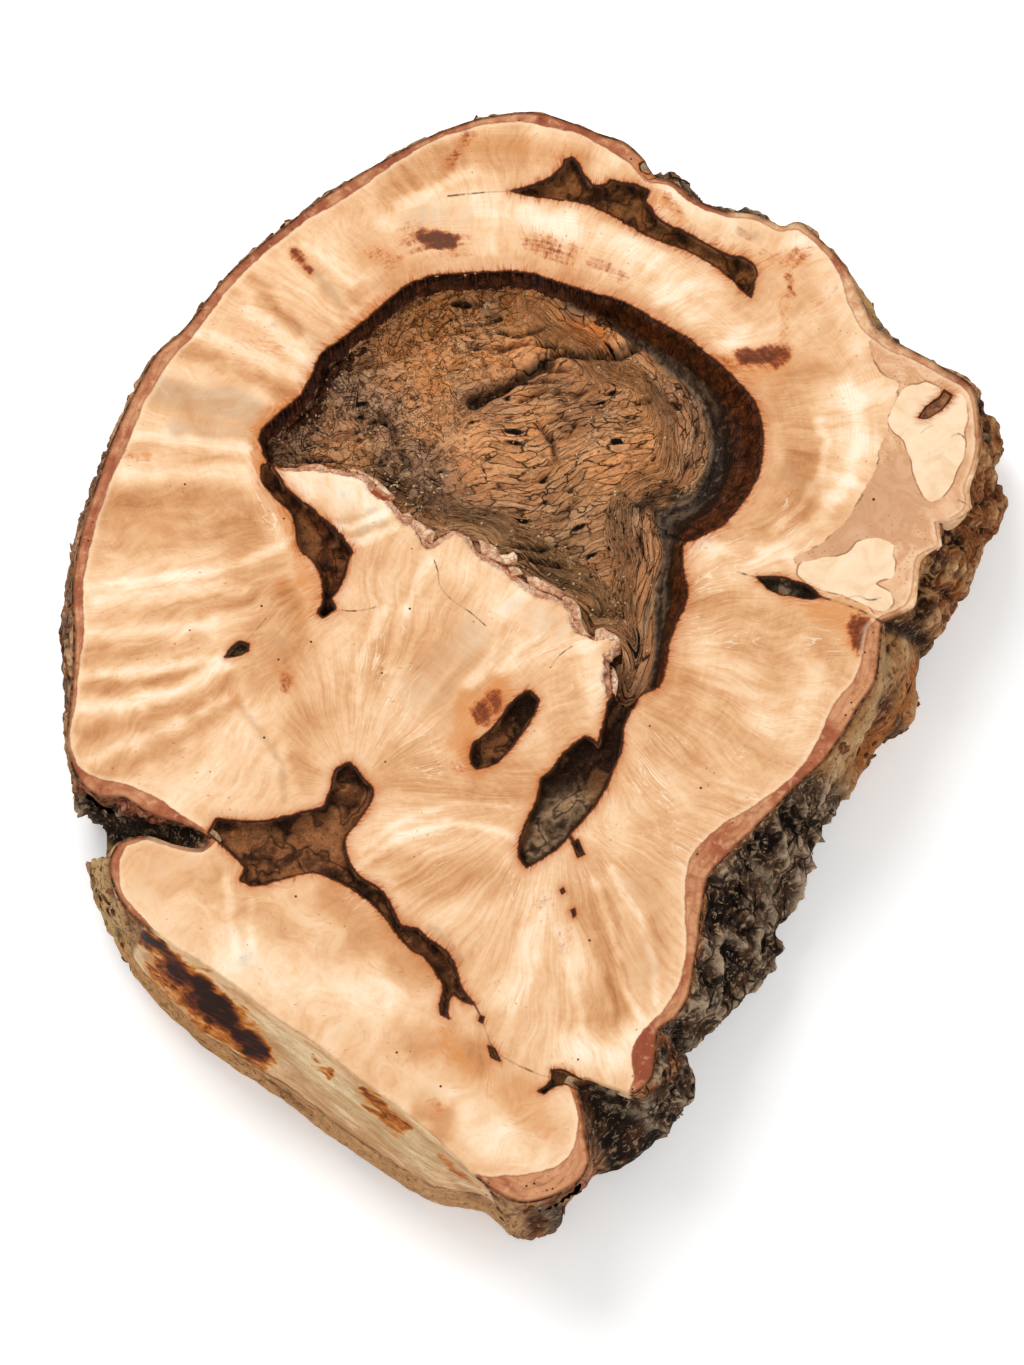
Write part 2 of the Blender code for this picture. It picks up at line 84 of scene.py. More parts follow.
# Round the slab, clockwise from the top of the photograph, in its pixels: the edge of the pale wood,
# the face's edge, the girth (on the sawn facet, the facet's lower edge) and the kind of bark
OUTLINE = (
    ((521, 122), (521, 112), (521, 110), "thin"),
    ((545, 126), (545, 114), (546, 112), "thin"),
    ((568, 131), (570, 122), (570, 120), "thin"),
    ((590, 139), (598, 133), (598, 131), "thin"),
    ((612, 152), (624, 142), (624, 140), "thin"),
    ((628, 163), (640, 155), (642, 153), "thin"),
    ((644, 181), (656, 177), (655, 163), "furrowed"),
    ((668, 186), (672, 181), (670, 166), "furrowed"),
    ((691, 203), (696, 199), (697, 182), "furrowed"),
    ((722, 216), (725, 211), (727, 197), "furrowed"),
    ((753, 220), (756, 215), (758, 212), "furrowed"),
    ((779, 232), (782, 226), (784, 222), "thin"),
    ((797, 229), (800, 223), (802, 221), "thin"),
    ((817, 246), (823, 242), (826, 241), "thin"),
    ((838, 273), (846, 267), (850, 269), "thin"),
    ((848, 303), (860, 296), (868, 292), "lumpy"),
    ((860, 327), (873, 324), (886, 317), "lumpy"),
    ((884, 348), (893, 340), (899, 339), "thin"),
    ((928, 368), (934, 362), (938, 361), "thin"),
    ((966, 391), (972, 386), (976, 385), "thin"),
    ((973, 415), (979, 411), (987, 409), "knobs"),
    ((975, 440), (982, 437), (1001, 441), "knobs"),
    ((972, 462), (978, 464), (991, 464), "knobs"),
    ((963, 487), (970, 489), (998, 490), "knobs"),
    ((964, 506), (972, 508), (1001, 508), "knobs"),
    ((953, 517), (958, 519), (996, 525), "knobs"),
    ((934, 521), (939, 523), (984, 537), "knobs"),
    ((937, 545), (942, 546), (978, 556), "knobs"),
    ((917, 556), (922, 560), (968, 580), "knobs"),
    ((912, 582), (918, 584), (957, 602), "knobs"),
    ((907, 603), (914, 607), (944, 628), "knobs"),
    ((880, 617), (883, 622), (921, 652), "cleft"),
    ((868, 627), (882, 630), (921, 657), "lumpy"),
    ((862, 657), (880, 656), (920, 670), "lumpy"),
    ((853, 681), (875, 684), (918, 692), "lumpy"),
    ((832, 706), (860, 706), (904, 718), "lumpy"),
    ((821, 733), (847, 728), (879, 739), "lumpy"),
    ((803, 764), (825, 760), (858, 778), "lumpy"),
    ((777, 789), (797, 786), (832, 804), "furrowed"),
    ((750, 808), (773, 811), (816, 838), "furrowed"),
    ((725, 822), (748, 836), (804, 873), "furrowed"),
    ((703, 840), (726, 857), (790, 902), "furrowed"),
    ((688, 862), (709, 877), (779, 928), "furrowed"),
    ((684, 893), (703, 903), (777, 955), "furrowed"),
    ((686, 930), (700, 932), (756, 980), "furrowed"),
    ((684, 960), (695, 963), (735, 1002), "furrowed"),
    ((677, 986), (689, 997), (716, 1021), "furrowed"),
    ((662, 1010), (675, 1019), (697, 1039), "furrowed"),
    ((641, 1031), (659, 1030), (677, 1046), "cleft"),
    ((631, 1055), (656, 1056), (686, 1062), "furrowed"),
    ((633, 1078), (651, 1080), (688, 1084), "furrowed"),
    ((629, 1091), (634, 1095), (682, 1104), "furrowed"),
    ((606, 1084), (608, 1088), (668, 1125), "furrowed"),
    ((586, 1076), (588, 1080), (652, 1141), "cleft"),
    ((566, 1080), (573, 1082), (632, 1157), "cleft"),
    ((575, 1107), (581, 1104), (612, 1167), "cleft"),
    ((577, 1130), (586, 1133), (598, 1172), "thin"),
    ((572, 1151), (590, 1160), (590, 1178), "thin"),
    ((557, 1166), (579, 1182), (579, 1190), "thin"),
    ((539, 1172), (560, 1194), (567, 1204), "lumpy"),
    ((520, 1174), (540, 1201), (564, 1220), "lumpy"),
    ((503, 1175), (519, 1203), (545, 1234), "lumpy"),
    ((485, 1176), (495, 1192), (516, 1235), "thin"),
    ((470, 1170), (474, 1176), (484, 1196), "sawn"),
    ((438, 1138), (439, 1141), (432, 1186), "sawn"),
    ((404, 1109), (404, 1112), (397, 1165), "sawn"),
    ((357, 1075), (356, 1078), (344, 1130), "sawn"),
    ((316, 1042), (315, 1045), (301, 1096), "sawn"),
    ((274, 1014), (273, 1017), (256, 1066), "sawn"),
    ((236, 984), (235, 987), (213, 1040), "sawn"),
    ((199, 959), (198, 962), (178, 1010), "sawn"),
    ((161, 935), (160, 938), (146, 975), "sawn"),
    ((135, 908), (130, 914), (113, 938), "thin"),
    ((121, 887), (114, 889), (93, 890), "thin"),
    ((120, 862), (109, 864), (87, 862), "thin"),
    ((126, 846), (120, 842), (99, 849), "thin"),
    ((148, 840), (147, 836), (104, 846), "cleft"),
    ((176, 849), (176, 845), (106, 843), "cleft"),
    ((202, 852), (200, 848), (108, 840), "cleft"),
    ((217, 840), (212, 838), (109, 836), "cleft"),
    ((203, 827), (202, 832), (108, 832), "cleft"),
    ((181, 815), (186, 826), (105, 828), "cleft"),
    ((163, 801), (162, 819), (100, 824), "furrowed"),
    ((146, 791), (143, 811), (94, 818), "furrowed"),
    ((126, 783), (124, 799), (86, 811), "furrowed"),
    ((101, 779), (98, 797), (78, 799), "furrowed"),
    ((83, 771), (83, 786), (72, 786), "thin"),
    ((74, 756), (72, 767), (69, 765), "thin"),
    ((71, 738), (67, 740), (66, 740), "thin"),
    ((75, 708), (69, 708), (65, 708), "thin"),
    ((80, 666), (73, 666), (62, 664), "thin"),
    ((84, 628), (73, 628), (61, 632), "thin"),
    ((84, 585), (72, 585), (67, 588), "thin"),
    ((93, 535), (81, 533), (77, 539), "thin"),
    ((111, 481), (98, 479), (91, 495), "thin"),
    ((130, 441), (113, 438), (110, 446), "thin"),
    ((146, 401), (131, 399), (130, 402), "thin"),
    ((173, 359), (156, 354), (149, 359), "thin"),
    ((196, 333), (184, 329), (180, 329), "thin"),
    ((240, 277), (231, 271), (229, 269), "thin"),
    ((299, 226), (294, 219), (295, 216), "thin"),
    ((340, 202), (332, 191), (325, 192), "thin"),
    ((382, 173), (377, 164), (370, 166), "thin"),
    ((430, 143), (428, 137), (427, 135), "thin"),
    ((478, 127), (477, 119), (477, 117), "thin"),
)
KINDS = ("thin", "lumpy", "furrowed", "knobs", "cleft", "sawn")

# The rim of the hollow, clockwise from its left tip, with the run of its wall in the photograph
HOLLOW_RIM = (
    ((260, 435), 12), ((278, 415), 16), ((303, 393), 18), ((314, 372), 16), ((322, 354), 16),
    ((352, 332), 20), ((386, 304), 26), ((406, 287), 26), ((430, 277), 26), ((470, 274), 24),
    ((512, 272), 22), ((540, 277), 22), ((570, 287), 26), ((598, 295), 30), ((627, 305), 34),
    ((657, 322), 40), ((686, 338), 44), ((719, 365), 50), ((738, 383), 52), ((754, 403), 54),
    ((762, 430), 56), ((761, 458), 54), ((754, 482), 50), ((739, 505), 44), ((721, 525), 40),
    ((700, 536), 40), ((683, 543), 38), ((681, 560), 36), ((686, 594), 38), ((678, 618), 38),
    ((669, 640), 32), ((664, 668), 26), ((659, 685), 16), ((645, 692), 8), ((630, 700), 4),
    ((615, 694), 4), ((612, 678), 4), ((609, 660), 4), ((621, 652), 4), ((619, 638), 4),
    ((606, 627), 4), ((595, 632), 4), ((581, 628), 4), ((577, 610), 4), ((566, 597), 4),
    ((548, 590), 4), ((531, 580), 4), ((513, 569), 4), ((497, 556), 4), ((478, 548), 4),
    ((470, 532), 4), ((452, 528), 4), ((430, 538), 4), ((418, 521), 4), ((401, 510), 4),
    ((391, 497), 4), ((377, 486), 4), ((366, 472), 4), ((344, 467), 4), ((324, 460), 4),
    ((300, 461), 4), ((281, 463), 4), ((269, 466), 4), ((264, 452), 6),
)
HOLLOW_MIDDLE = (560, 420)
NEAR_RUN = 8
NEAR_WALL_RUN = 0.0025
TORN_STATIONS = (34, 61)
PATH_RUN = 16

# Dark pockets and splits where bark was grown over: depth in metres, dark and light colours of the
# lining, and outline
POCKETS = {
    "left_gap": (0.0075, (52, 26, 13), (128, 72, 36), (
        (263, 482), (278, 500), (291, 511), (296, 530), (300, 549), (313, 560), (322, 580), (323, 603),
        (317, 613), (323, 617), (336, 609), (331, 598), (342, 582), (347, 562), (352, 552), (340, 535),
        (322, 518), (305, 504), (288, 490), (277, 474), (270, 462), (262, 466))),
    "left_pit": (0.003, (52, 36, 22), (128, 96, 62), (
        (225, 657), (231, 647), (240, 641), (249, 644), (248, 651), (237, 656))),
    "fork": (0.0065, (50, 27, 15), (160, 100, 60), (
        (208, 833), (216, 819), (237, 821), (267, 821), (297, 814), (324, 807), (331, 789), (336, 771),
        (350, 762), (361, 776), (372, 789), (367, 808), (353, 826), (345, 840), (348, 860), (362, 879),
        (380, 890), (391, 907), (401, 927), (415, 928), (427, 938), (446, 952), (457, 972), (461, 989),
        (474, 1004), (462, 1000), (454, 992), (447, 1004), (449, 1019), (441, 1014), (441, 1001),
        (444, 986), (436, 972), (425, 957), (408, 946), (398, 934), (388, 920), (375, 906), (356, 891),
        (336, 880), (314, 872), (294, 875), (272, 881), (252, 885), (241, 880), (246, 868), (233, 854),
        (221, 843))),
    "boat": (0.0065, (52, 26, 13), (142, 88, 50), (
        (529, 690), (538, 700), (533, 715), (521, 734), (507, 752), (495, 763), (477, 768), (471, 764),
        (473, 745), (488, 733), (503, 715), (514, 700))),
    "keel": (0.0070, (54, 30, 16), (180, 146, 110), (
        (616, 684), (646, 686), (634, 703), (628, 716), (623, 730), (622, 745), (617, 760), (605, 788),
        (593, 807), (573, 830), (557, 848), (540, 859), (527, 867), (520, 857), (520, 841), (529, 818),
        (538, 797), (542, 778), (552, 770), (563, 755), (583, 737), (592, 739), (598, 746), (601, 734),
        (605, 719), (608, 705))),
    "slot": (0.003, (52, 24, 12), (110, 56, 28), ((573, 843), (578, 840), (584, 854), (578, 857))),
    "lower_split": (0.0045, (40, 24, 14), (104, 70, 48), (
        (538, 1091), (548, 1085), (552, 1078), (551, 1070), (562, 1070), (576, 1077), (592, 1086),
        (580, 1092), (566, 1084), (555, 1086), (544, 1093))),
    "top_split": (0.0065, (56, 30, 13), (138, 82, 40), (
        (512, 191), (532, 186), (548, 179), (563, 167), (565, 160), (572, 157), (578, 164), (584, 175),
        (593, 186), (607, 185), (611, 180), (622, 183), (636, 185), (649, 191), (645, 202), (651, 208),
        (655, 216), (667, 225), (683, 231), (699, 240), (717, 250), (730, 256), (746, 259), (756, 269),
        (754, 283), (751, 297), (744, 291), (734, 281), (720, 269), (703, 258), (683, 248), (662, 241),
        (642, 232), (626, 223), (607, 212), (581, 202), (560, 199), (530, 195))),
    "top_eye": (0.004, (36, 20, 12), (70, 42, 24),
                ((639, 164), (645, 161), (652, 167), (650, 174), (642, 171))),
    "right_split": (0.0040, (44, 30, 18), (152, 128, 100), (
        (757, 577), (772, 577), (786, 578), (797, 582), (809, 586), (821, 597), (808, 599), (795, 596),
        (780, 594), (768, 588))),
    "lobe_slot": (0.0025, (128, 74, 44), (206, 160, 124), (
        (919, 417), (925, 408), (940, 397), (944, 390), (952, 395), (948, 402), (938, 412), (926, 418))),
    "pin_a": (0.002, (50, 24, 12), (70, 40, 24), ((560, 890), (563, 888), (565, 892), (562, 894))),
    "pin_b": (0.002, (50, 24, 12), (70, 40, 24), ((571, 910), (574, 909), (575, 915), (573, 917))),
    "pin_c": (0.002, (50, 24, 12), (70, 40, 24), ((480, 1016), (484, 1017), (482, 1023), (479, 1021))),
    "pin_d": (0.003, (50, 24, 12), (80, 48, 30), ((488, 1046), (494, 1049), (500, 1061), (492, 1057))),
}

# Hair cracks and dark seams in the face, with their half width in metres
CREASES = (
    (0.00030, ((448, 196), (467, 194), (490, 192), (512, 191))),
    (0.00026, ((342, 610), (350, 611), (364, 610), (376, 607))),
    (0.00030, ((736, 571), (748, 575), (760, 578))),
    (0.00040, ((821, 597), (850, 606), (872, 616), (884, 624))),
    (0.00028, ((474, 1004), (481, 1017), (487, 1034), (494, 1050), (512, 1062), (538, 1074), (552, 1078))),
    (0.00022, ((846, 598), (858, 596), (870, 600), (882, 597))),
    (0.00018, ((921, 433), (927, 428), (932, 426))),
    (0.00020, ((951, 437), (958, 433), (963, 436), (966, 443))),
    (0.00018, ((434, 560), (438, 572), (440, 586), (452, 600), (470, 612), (486, 626))),
    (0.00022, ((550, 668), (560, 655), (572, 646))),
    (0.00030, ((958, 500), (968, 505), (972, 512))),
    (0.00020, ((640, 172), (648, 180), (656, 178))),
    (0.00016, ((246, 641), (256, 630), (266, 618))),
)

# Grown-in lobes at the right: pale wood, and the tan old bark round them
UPPER_LOBE = (
    (888, 423), (891, 412), (896, 400), (902, 390), (910, 384), (918, 384), (925, 381), (934, 384),
    (942, 388), (941, 396), (944, 402), (953, 395), (960, 392), (965, 398), (967, 406), (968, 421),
    (964, 432), (966, 443), (965, 452), (962, 462), (957, 472), (955, 479), (950, 489), (944, 496),
    (938, 500), (931, 502), (926, 499), (922, 494), (916, 482), (912, 470), (911, 462), (907, 452),
    (903, 440), (899, 436), (895, 434))
LOWER_LOBE = (
    (800, 562), (812, 560), (822, 557), (836, 556), (846, 553), (852, 548), (856, 542), (868, 538),
    (881, 538), (888, 541), (895, 546), (893, 554), (896, 562), (895, 572), (893, 578), (882, 580),
    (876, 584), (884, 588), (891, 593), (894, 603), (890, 609), (882, 612), (868, 607), (847, 597),
    (830, 592), (815, 588), (804, 582), (797, 574))
OLD_BARK = (
    (869, 340), (871, 352), (874, 362), (882, 372), (890, 378), (900, 382), (892, 410), (886, 424),
    (890, 434), (883, 437), (880, 446), (878, 460), (874, 474), (868, 484), (860, 500), (850, 514),
    (838, 526), (826, 540), (812, 548), (800, 552), (794, 560), (800, 572), (830, 590), (846, 598),
    (868, 607), (884, 624), (930, 640), (1010, 560), (1010, 420), (990, 380), (930, 350), (890, 330))

# Marks in the wood: what they change (its paleness, greyness, red-brown stain or orange), how much,
# their half width in pixels and their path, across and down in turn
WOOD_MARKS = (
    ("orange", 1, 9, (262, 420, 256, 440, 258, 462, 268, 486)),
    ("orange", 0.7, 7, (266, 416, 300, 392, 330, 350, 356, 322, 384, 300)),
    ("orange", 0.8, 10, (280, 510, 290, 530, 298, 560, 312, 590, 316, 612)),
    ("orange", 0.8, 11, (470, 700, 462, 720, 454, 742)), ("orange", 0.6, 8, (520, 850, 524, 866)),
    ("level", -0.26, 40, (240, 560, 262, 600, 280, 640)),
    ("level", -0.24, 34, (590, 900, 620, 960, 600, 1010)),
    ("level", -0.16, 60, (430, 620, 470, 680, 440, 740)),
    ("level", -0.14, 60, (720, 620, 800, 650, 760, 720)),
    ("level", -0.34, 26, (108, 512, 190, 508, 270, 504)),
    ("level", -0.26, 16, (104, 548, 170, 540, 262, 530)),
    ("level", 0.34, 5, (90, 586, 160, 578, 220, 570, 262, 556, 300, 536)),
    ("level", 0.22, 7, (96, 600, 170, 594, 240, 588)), ("level", -0.22, 9, (88, 618, 170, 612, 250, 600)),
    ("level", 0.2, 5, (88, 634, 160, 630, 214, 622)), ("level", -0.34, 10, (82, 656, 140, 652, 200, 640)),
    ("level", 0.3, 5, (80, 676, 140, 672, 200, 660, 240, 652)),
    ("level", -0.26, 6, (84, 690, 140, 684, 196, 672)),
    ("level", 0.38, 7, (82, 708, 130, 704, 180, 690, 226, 664)),
    ("level", -0.34, 12, (84, 736, 140, 722, 190, 702, 224, 682)),
    ("level", 0.3, 5, (86, 762, 140, 740, 190, 716, 230, 694)),
    ("level", -0.3, 10, (100, 778, 150, 756, 200, 728, 232, 704)),
    ("level", 0.16, 26, (180, 800, 230, 760, 250, 720)),
    ("level", -0.36, 9, (184, 350, 230, 366, 262, 380, 300, 404)),
    ("level", 0.26, 6, (196, 330, 240, 346, 290, 372, 318, 392)),
    ("level", 0.2, 8, (172, 372, 210, 384, 262, 398, 300, 412)),
    ("grey", 0.85, 20, (160, 392, 205, 398, 248, 408)), ("grey", 0.6, 12, (176, 424, 220, 432, 262, 440)),
    ("level", -0.2, 24, (150, 404, 205, 408, 262, 420)),
    ("level", 0.34, 7, (130, 434, 180, 440, 230, 446, 262, 450)),
    ("orange", 0.9, 6, (120, 455, 132, 454, 146, 455)), ("stain", 0.4, 6, (122, 454, 130, 455, 136, 458)),
    ("level", 0.2, 14, (128, 472, 180, 470, 250, 470)),
    ("level", -0.14, 6, (120, 464, 180, 462, 240, 460)),
    ("level", -0.26, 6, (248, 278, 262, 288, 284, 312, 300, 330)),
    ("stain", 0.85, 6, (294, 252, 301, 261, 308, 270)), ("grey", 0.65, 7, (312, 270, 326, 284, 340, 302)),
    ("level", -0.3, 7, (296, 256, 320, 280, 344, 312)),
    ("level", -0.28, 7, (262, 300, 280, 314, 296, 332)), ("grey", 0.4, 8, (282, 320, 300, 326, 318, 344)),
    ("level", 0.3, 8, (250, 314, 284, 338, 316, 364)), ("level", 0.24, 5, (306, 246, 330, 262, 352, 286)),
    ("orange", 0.4, 18, (240, 330, 290, 360, 310, 380)),
    ("stain", 0.62, 9, (470, 134, 460, 148, 448, 166)),
    ("orange", 0.45, 18, (480, 140, 520, 146, 570, 152)),
    ("level", -0.3, 26, (400, 180, 440, 160, 500, 150, 570, 150)),
    ("level", 0.26, 12, (440, 130, 520, 128, 580, 140, 610, 160)),
    ("level", 0.34, 7, (400, 208, 424, 196, 450, 180, 470, 172)),
    ("level", 0.22, 16, (390, 220, 430, 200, 500, 206, 590, 222)),
    ("stain", 1.1, 10, (420, 238, 434, 239, 450, 242)),
    ("stain", 0.45, 16, (412, 240, 434, 240, 462, 244)),
    ("stain", 0.55, 12, (374, 252, 386, 258, 398, 262)),
    ("orange", 0.5, 18, (368, 254, 386, 258, 410, 262)),
    ("grey", 0.4, 14, (410, 216, 440, 216, 470, 216)),
    ("stain", 0.48, 12, (530, 240, 546, 246, 566, 258)),
    ("orange", 0.45, 14, (524, 236, 548, 246, 580, 262)),
    ("stain", 0.5, 8, (590, 264, 604, 268, 620, 275)),
    ("level", -0.26, 9, (350, 300, 400, 272, 440, 260, 520, 258, 600, 282, 660, 310)),
    ("level", 0.24, 14, (540, 222, 620, 244, 700, 288, 740, 330)),
    ("level", 0.2, 10, (660, 290, 700, 318, 726, 344)),
    ("stain", 0.95, 12, (744, 358, 766, 354, 784, 356)),
    ("stain", 0.5, 14, (716, 360, 740, 362, 770, 360)),
    ("orange", 0.8, 16, (712, 362, 746, 364, 780, 364)),
    ("stain", 0.7, 7, (788, 276, 791, 282, 790, 292)),
    ("orange", 0.65, 14, (762, 262, 784, 262, 800, 256)),
    ("stain", 0.42, 9, (764, 256, 780, 262, 796, 256)),
    ("orange", 0.5, 8, (786, 296, 787, 320, 784, 346)),
    ("stain", 0.36, 6, (786, 310, 785, 330, 780, 350)), ("grey", 0.95, 5, (742, 234, 749, 236, 756, 237)),
    ("stain", 0.4, 5, (738, 228, 746, 236, 754, 240)),
    ("orange", 0.85, 10, (658, 196, 668, 204, 680, 216)),
    ("stain", 0.44, 7, (666, 200, 674, 208, 680, 214)),
    ("orange", 0.4, 12, (700, 226, 720, 240, 740, 250)),
    ("level", 0.24, 8, (664, 186, 700, 210, 730, 222)),
    ("level", 0.2, 12, (800, 240, 826, 270, 842, 310, 858, 350)),
    ("orange", 0.3, 30, (800, 250, 820, 300, 820, 360)),
    ("level", -0.28, 34, (790, 400, 800, 450, 790, 500, 760, 540)),
    ("grey", 0.45, 14, (786, 470, 800, 480, 816, 486)),
    ("level", -0.2, 16, (796, 460, 806, 480, 800, 510)),
    ("level", 0.3, 8, (846, 386, 856, 404, 860, 440, 848, 480, 826, 510, 796, 536, 764, 548)),
    ("level", 0.34, 5, (818, 420, 826, 440, 820, 474, 800, 506, 776, 530)),
    ("level", 0.2, 22, (860, 400, 860, 440, 846, 490)),
    ("level", 0.32, 9, (704, 546, 740, 552, 784, 554)),
    ("level", 0.2, 10, (716, 566, 740, 572, 770, 570)),
    ("stain", 0.92, 12, (858, 622, 863, 632, 866, 646)),
    ("orange", 0.9, 20, (824, 606, 850, 616, 866, 640)),
    ("orange", 0.55, 14, (790, 600, 830, 604, 860, 620)),
    ("level", 0.3, 22, (712, 656, 740, 684, 766, 716)),
    ("level", 0.2, 12, (800, 640, 816, 680, 794, 720)),
    ("level", -0.22, 22, (676, 690, 664, 740, 694, 772)),
    ("level", -0.16, 20, (700, 600, 760, 610, 820, 640)),
    ("stain", 0.8, 12, (482, 716, 490, 706, 498, 698)), ("orange", 1, 18, (466, 756, 474, 726, 496, 694)),
    ("stain", 0.4, 8, (452, 766, 462, 770, 474, 770)),
    ("orange", 0.6, 12, (446, 762, 462, 772, 484, 772)),
    ("stain", 0.52, 6, (282, 674, 287, 681, 285, 690)),
    ("orange", 0.5, 14, (276, 664, 288, 678, 300, 690)),
    ("orange", 0.6, 5, (230, 694, 238, 699, 236, 704)),
    ("level", -0.3, 12, (284, 590, 298, 600, 300, 616)),
    ("orange", 0.5, 12, (284, 586, 300, 596, 306, 612)),
    ("grey", 0.55, 8, (272, 634, 280, 642, 284, 654)),
    ("level", -0.24, 12, (302, 764, 310, 772, 306, 786)),
    ("grey", 0.6, 4, (236, 702, 260, 732, 282, 764, 284, 800)),
    ("level", -0.1, 5, (236, 702, 260, 732, 282, 764, 284, 800)),
    ("stain", 0.32, 10, (166, 534, 176, 543, 188, 552)),
    ("orange", 0.3, 22, (150, 530, 180, 540, 200, 552)),
    ("level", -0.22, 26, (400, 640, 340, 700, 300, 736)),
    ("level", -0.18, 26, (300, 640, 280, 690, 300, 730)),
    ("grey", 0.4, 12, (320, 486, 340, 498, 348, 512)), ("grey", 0.75, 5, (338, 536, 360, 532, 386, 522)),
    ("grey", 0.7, 4, (330, 521, 350, 521, 376, 509)), ("level", 0.38, 5, (340, 545, 366, 540, 396, 528)),
    ("level", 0.34, 4, (334, 528, 356, 527, 384, 515)),
    ("level", 0.3, 24, (296, 474, 340, 486, 376, 506)),
    ("level", -0.12, 16, (380, 500, 392, 530, 380, 560)),
    ("grey", 0.45, 28, (426, 690, 446, 664, 470, 640)), ("grey", 0.4, 14, (520, 610, 540, 620, 556, 630)),
    ("level", 0.34, 5, (356, 700, 358, 670, 368, 640, 384, 610)),
    ("level", 0.3, 5, (404, 610, 396, 640, 388, 668)), ("level", 0.28, 5, (430, 560, 416, 590, 404, 610)),
    ("level", 0.3, 6, (498, 640, 486, 664, 470, 684)), ("level", 0.26, 7, (520, 640, 512, 660, 500, 672)),
    ("level", 0.26, 16, (470, 576, 500, 596, 530, 616)),
    ("level", -0.22, 22, (560, 680, 570, 700, 560, 730)),
    ("level", 0.22, 12, (590, 650, 600, 670, 596, 700)),
    ("level", -0.3, 30, (400, 770, 460, 790, 520, 780)),
    ("level", 0.32, 4, (356, 868, 400, 836, 450, 822, 500, 830, 520, 840)),
    ("level", 0.26, 3, (362, 852, 400, 820, 450, 804, 510, 806)),
    ("level", -0.26, 20, (380, 864, 440, 876, 500, 878)),
    ("level", 0.3, 12, (548, 900, 530, 950, 508, 1000)),
    ("level", 0.3, 4, (594, 880, 612, 930, 620, 980, 640, 1020)),
    ("level", 0.3, 4, (610, 870, 640, 920, 654, 960, 656, 1000)),
    ("level", 0.26, 5, (560, 930, 572, 980, 584, 1030)),
    ("level", -0.22, 12, (600, 900, 614, 960, 622, 1010)),
    ("level", -0.24, 22, (640, 870, 660, 920, 650, 980)),
    ("grey", 0.35, 18, (632, 880, 656, 920, 640, 980)),
    ("level", 0.3, 18, (580, 1050, 610, 1056, 634, 1040)),
    ("stain", 0.4, 8, (540, 904, 548, 896, 556, 910)), ("stain", 0.3, 12, (560, 906, 566, 930, 562, 950)),
    ("level", -0.14, 30, (164, 860, 220, 880, 270, 920)),
    ("level", 0.3, 30, (240, 950, 320, 990, 380, 1000)),
    ("level", 0.26, 5, (228, 880, 230, 920, 240, 960)),
    ("level", 0.22, 4, (252, 900, 250, 930, 252, 960)),
    ("level", -0.3, 22, (330, 900, 372, 930, 424, 966)),
    ("orange", 0.35, 22, (340, 900, 380, 930, 420, 960)),
    ("grey", 0.4, 12, (238, 930, 244, 950, 250, 966)),
    ("orange", 0.55, 16, (420, 1050, 446, 1044, 474, 1062)),
    ("level", -0.3, 16, (416, 1050, 446, 1046, 474, 1064)),
    ("level", -0.26, 14, (424, 1106, 444, 1116, 440, 1134)),
    ("stain", 0.28, 10, (430, 1108, 446, 1120, 440, 1134)),
    ("orange", 0.45, 26, (470, 1060, 510, 1090, 540, 1130)),
    ("level", -0.2, 26, (480, 1060, 520, 1100, 540, 1140)),
    ("level", 0.24, 20, (470, 1110, 500, 1140, 530, 1150)),
    ("grey", 0.7, 6, (430, 928, 446, 942, 464, 964)), ("stain", 0.3, 6, (110, 880, 116, 892, 124, 902)),
)

# The dark stain on the sawn facet at the lower left, in two depths, and its brown streaks
FACET_STAINS = (
    (0.85, 8, (142, 936, 158, 946, 180, 966)), (0.52, 24, (170, 974, 200, 1006, 244, 1052)),
    (1, 15, (176, 968, 204, 994, 232, 1020)), (0.95, 13, (206, 1000, 234, 1030, 256, 1054)),
    (0.4, 5, (313, 1058, 322, 1066, 330, 1074)), (0.38, 8, (364, 1096, 384, 1110, 404, 1130)),
    (0.34, 5, (378, 1112, 390, 1124, 396, 1136)), (0.3, 4, (440, 1156, 456, 1172, 478, 1186)),
)
FACET_MARKS = (
    ((226, 196, 150), 0.7, 8, (132, 950, 150, 990, 180, 1014)),
    ((210, 180, 134), 0.6, 16, (290, 1056, 350, 1100, 430, 1160)),
    ((232, 206, 162), 0.7, 7, (262, 1020, 310, 1062, 350, 1092)),
    ((196, 160, 112), 0.6, 7, (424, 1150, 452, 1168, 476, 1184)),
)

